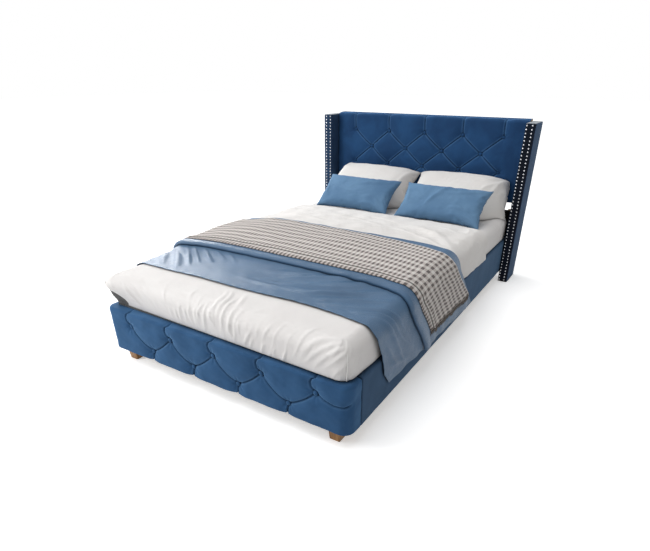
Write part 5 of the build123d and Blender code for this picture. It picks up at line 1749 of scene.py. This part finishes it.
def white_pillow(hand, name, seed):
    """One white pillow against the headboard, its lower corners slumped: its points and faces."""
    low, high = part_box("pillow_white_" + name)
    points, faces, border = stuffed(high.x - low.x, WHITE_LENGTH, WHITE_THICKNESS, seed)
    u, v = points[:, 0] / WHITE_HALF, points[:, 1] / (WHITE_LENGTH / 2)
    front = np.clip(points[:, 2] / (WHITE_THICKNESS / 2), 0, 1)
    points[:, 2] *= np.where(points[:, 2] < 0, WHITE_BACK, 1.0)
    lower = np.clip((1 - v) / 2, 0, 1)
    if hand > 0:
        end = smoothstep(u, 0.50, 1.0) ** 1.3
        shape = np.interp(v, (-1.0, -0.6, 0.0, 0.6, 1.0), (0.006, 0.018, 0.018, 0.000, -0.026))
        points[:, 0] += end * shape
    else:
        end = 0.5 * smoothstep(u, 0.55, 1.0) ** 1.3
        points[:, 0] += 0.032 * smoothstep(-u, 0.60, 1.0)
    end = end + 0.35 * smoothstep(-u, 0.60, 1.0) ** 1.3
    points[:, 1] += end * lower * CORNER_UP
    points[:, 2] -= end * (lower * CORNER_BACK + END_BACK)
    points[:, 2] += WHITE_RIDGES * creases(points[:, 0], points[:, 1], white_strokes[name]) * front
    points[:, 1] += 0.0030 * np.sin(points[:, 0] * 46 + 1.3 * hand) * smoothstep(v, 0.5, 1.0)
    centre = ((low.x + high.x) / 2, (low.y + high.y) / 2, (low.z + high.z) / 2)
    points = tipped(points, WHITE_LEAN, centre)
    crown = (high.z - PILLOW_FLOOR - 0.002) / (points[:, 2].max() - PILLOW_FLOOR)
    over = points[:, 2] - centre[2]
    points[:, 2] = np.where(over > 0, centre[2] + over * crown, points[:, 2])
    points[:, 2] = pressed(points[:, 2], PILLOW_FLOOR, soft=0.003) if hand < 0 else droop(points)
    points[:, 1] = -pressed(-points[:, 1], -(HEAD_FACE - 0.0012), soft=0.003)
    pillow("pillow_" + name, "white_pillow_" + name, "pillow_white_" + name, points, faces, border,
           pillow_cotton, seam_radius=0.0014)
    return points, faces


def blue_cushion(hand, name, seed, wider, whites):
    """One blue cushion, gathered at its seams, leaned on the white pillows."""
    low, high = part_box("cushion_blue_" + name)
    points, faces, border = stuffed(high.x - low.x + wider, BLUE_LENGTH, BLUE_THICKNESS, seed)
    u, v = points[:, 0] / BLUE_HALF, points[:, 1] / (BLUE_LENGTH / 2)
    front = np.clip(points[:, 2] / 0.05, 0, 1)
    points[:, 2] *= np.where(points[:, 2] < 0, BLUE_BACK, 1.12)
    points[:, 2] += BLUE_RIDGES * creases(points[:, 0], points[:, 1], blue_strokes[name]) * front
    x, y = points[:, 0].copy(), points[:, 1].copy()
    ends = np.exp(-(1 - np.abs(u)) * BLUE_HALF / END_GATHERS[1])
    hems = np.exp(-(1 - np.abs(v)) * (BLUE_LENGTH / 2) / HEM_GATHERS[1])
    gathers = ends * np.sin(y * 2 * math.pi / END_GATHERS[0] + 3 * np.sin(x * 38))
    gathers += 0.8 * hems * np.sin(x * 2 * math.pi / HEM_GATHERS[0] + 2 * np.sin(y * 52 + x * 17))
    points[:, 2] += front * (GATHER_RISE * gathers + 0.0011 * waves(x, y, size=0.075, seed=71 + hand))
    points[:, 1] += 0.0018 * np.sin(x * 70 + hand) * smoothstep(v, 0.5, 1.0)
    centre = ((low.x + high.x - wider) / 2, (low.y + high.y) / 2, (low.z + high.z) / 2)
    points = tipped(points, BLUE_LEAN, centre)
    points[:, 2] = pressed(points[:, 2], PILLOW_FLOOR, soft=0.002)
    points = pushed_off(points, whites, gap=0.0022)
    points[:, 2] = np.maximum(points[:, 2], PILLOW_FLOOR)
    pillow("cushion_" + name, "blue_cushion_" + name, "cushion_blue_" + name, points, faces, border,
           cushion_cloth, seam_radius=0.0011)


def droop(points):
    """Heights of the right pillow: pressed on the mattress, let down over its rounded edge."""
    past = np.clip(points[:, 0] - (SHEET_HIGH.x - SHEET_ARC), 0, SHEET_ARC * 0.93)
    floor = PILLOW_FLOOR - SHEET_ARC + np.sqrt(SHEET_ARC ** 2 - past ** 2)
    floor = np.maximum(floor, PILLOW_FLOOR - 0.014)
    end = smoothstep(points[:, 0], 0.560, 0.625) * (1 - smoothstep(points[:, 2], 0.43, 0.52))
    return pressed(points[:, 2] - 0.030 * end - floor, 0, soft=0.003) + floor


white_pillows = [white_pillow(-1, "left", 5), white_pillow(1, "right", 8)]
blue_cushion(-1, "left", 14, 0.0, white_pillows)
blue_cushion(1, "right", 21, 0.016, white_pillows)


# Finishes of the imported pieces

def repaint():
    """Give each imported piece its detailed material."""
    finishes = {
        "board": board_wood, "timber": frame_timber, "slat_wood": slat_wood, "foot_wood": foot_wood,
        "black_steel": black_steel, "zinc_steel": zinc_steel, "nickel_nail": nickel,
        "black_plastic": black_plastic, "webbing": black_cloth, "black_cloth": black_cloth,
        "headboard_velvet": headboard_velvet, "footboard_velvet": footboard_velvet,
        "rail_velvet": rail_velvet, "wing_velvet": wing_velvet, "mattress_knit": mattress_knit,
        "sheet_cotton": sheet_cotton, "duvet_cotton": duvet_cotton, "blue_coverlet": coverlet_satin,
        "check_weave": check_weave, "throw_fringe": fringe_yarn, "pillow_cotton": pillow_cotton,
        "cushion_cloth": cushion_cloth,
    }
    for part in frame["record"]["subparts"]:
        piece = nodes[part["node"]]
        piece.data.materials.clear()
        piece.data.materials.append(finishes[part["material_slot"]])


repaint()


# Stage, light and background

FLOOR_GLOW = 0.42
SURROUND_LIGHT = 0.33


def seen_directly(tree):
    """A socket that is 1 for what the camera sees, also in a reflection."""
    path = tree.nodes.new("ShaderNodeLightPath")
    return math_node(tree, "MAXIMUM", path.outputs["Is Camera Ray"], path.outputs["Is Glossy Ray"])


def pale_floor():
    """A wide pale floor that looks as white as the photograph's and takes soft shadows."""
    reach = 30.0
    mesh = bpy.data.meshes.new("floor")
    mesh.from_pydata([(-reach, -reach, 0), (reach, -reach, 0), (reach, reach, 0), (-reach, reach, 0)], [],
                     [(0, 1, 2, 3)])
    floor = bpy.data.objects.new("floor", mesh)
    bpy.context.scene.collection.objects.link(floor)
    mat = bpy.data.materials.new("floor")
    mat.use_nodes = True
    tree = mat.node_tree
    shader = tree.nodes["Principled BSDF"]
    shader.inputs["Roughness"].default_value = 1.0
    shader.inputs["Specular IOR Level"].default_value = 0.0
    seen = seen_directly(tree)
    tree.links.new(mix(tree, seen, (0.8, 0.8, 0.8), (1.0, 1.0, 1.0)), shader.inputs["Base Color"])
    shader.inputs["Emission Color"].default_value = (1, 1, 1, 1)
    tree.links.new(math_node(tree, "MULTIPLY", seen, FLOOR_GLOW), shader.inputs["Emission Strength"])
    mesh.materials.append(mat)


def white_surround():
    """An even white background that lights the bed less than it shows."""
    world = bpy.data.worlds.new("world")
    bpy.context.scene.world = world
    world.use_nodes = True
    tree = world.node_tree
    strength = tree.nodes.new("ShaderNodeMapRange")
    strength.inputs["To Min"].default_value = SURROUND_LIGHT
    strength.inputs["To Max"].default_value = 1.0
    tree.links.new(seen_directly(tree), strength.inputs["Value"])
    surround = tree.nodes["Background"]
    surround.inputs["Color"].default_value = (1, 1, 1, 1)
    tree.links.new(strength.outputs["Result"], surround.inputs["Strength"])


def lamps():
    """Wide soft light from above, and two soft lamps at the left, the second for the sheen."""
    # Each lamp: name, kind, place, what it points at, energy, and its width in degrees or metres
    lights = (("sky", "SUN", (-0.3, -0.12, 1.0), (0, 0, 0), 1.45, 50),
              ("key", "AREA", (-2.4, -2.9, 1.7), (0.0, -0.6, 0.4), 52, 1.3),
              ("sheen", "AREA", (-3.7, 1.4, 1.6), (-0.3, -0.7, 0.45), 72, 1.2))
    for name, kind, place, target, energy, size in lights:
        light = bpy.data.lights.new(name, kind)
        light.energy = energy
        if kind == "SUN":
            light.angle = math.radians(size)
        else:
            light.size = size
        lamp = bpy.data.objects.new(name, light)
        lamp.location = place
        lamp.rotation_euler = (Vector(place) - Vector(target)).to_track_quat("Z", "Y").to_euler()
        bpy.context.scene.collection.objects.link(lamp)


pale_floor()
white_surround()
lamps()
bpy.context.scene.view_settings.view_transform = "Standard"
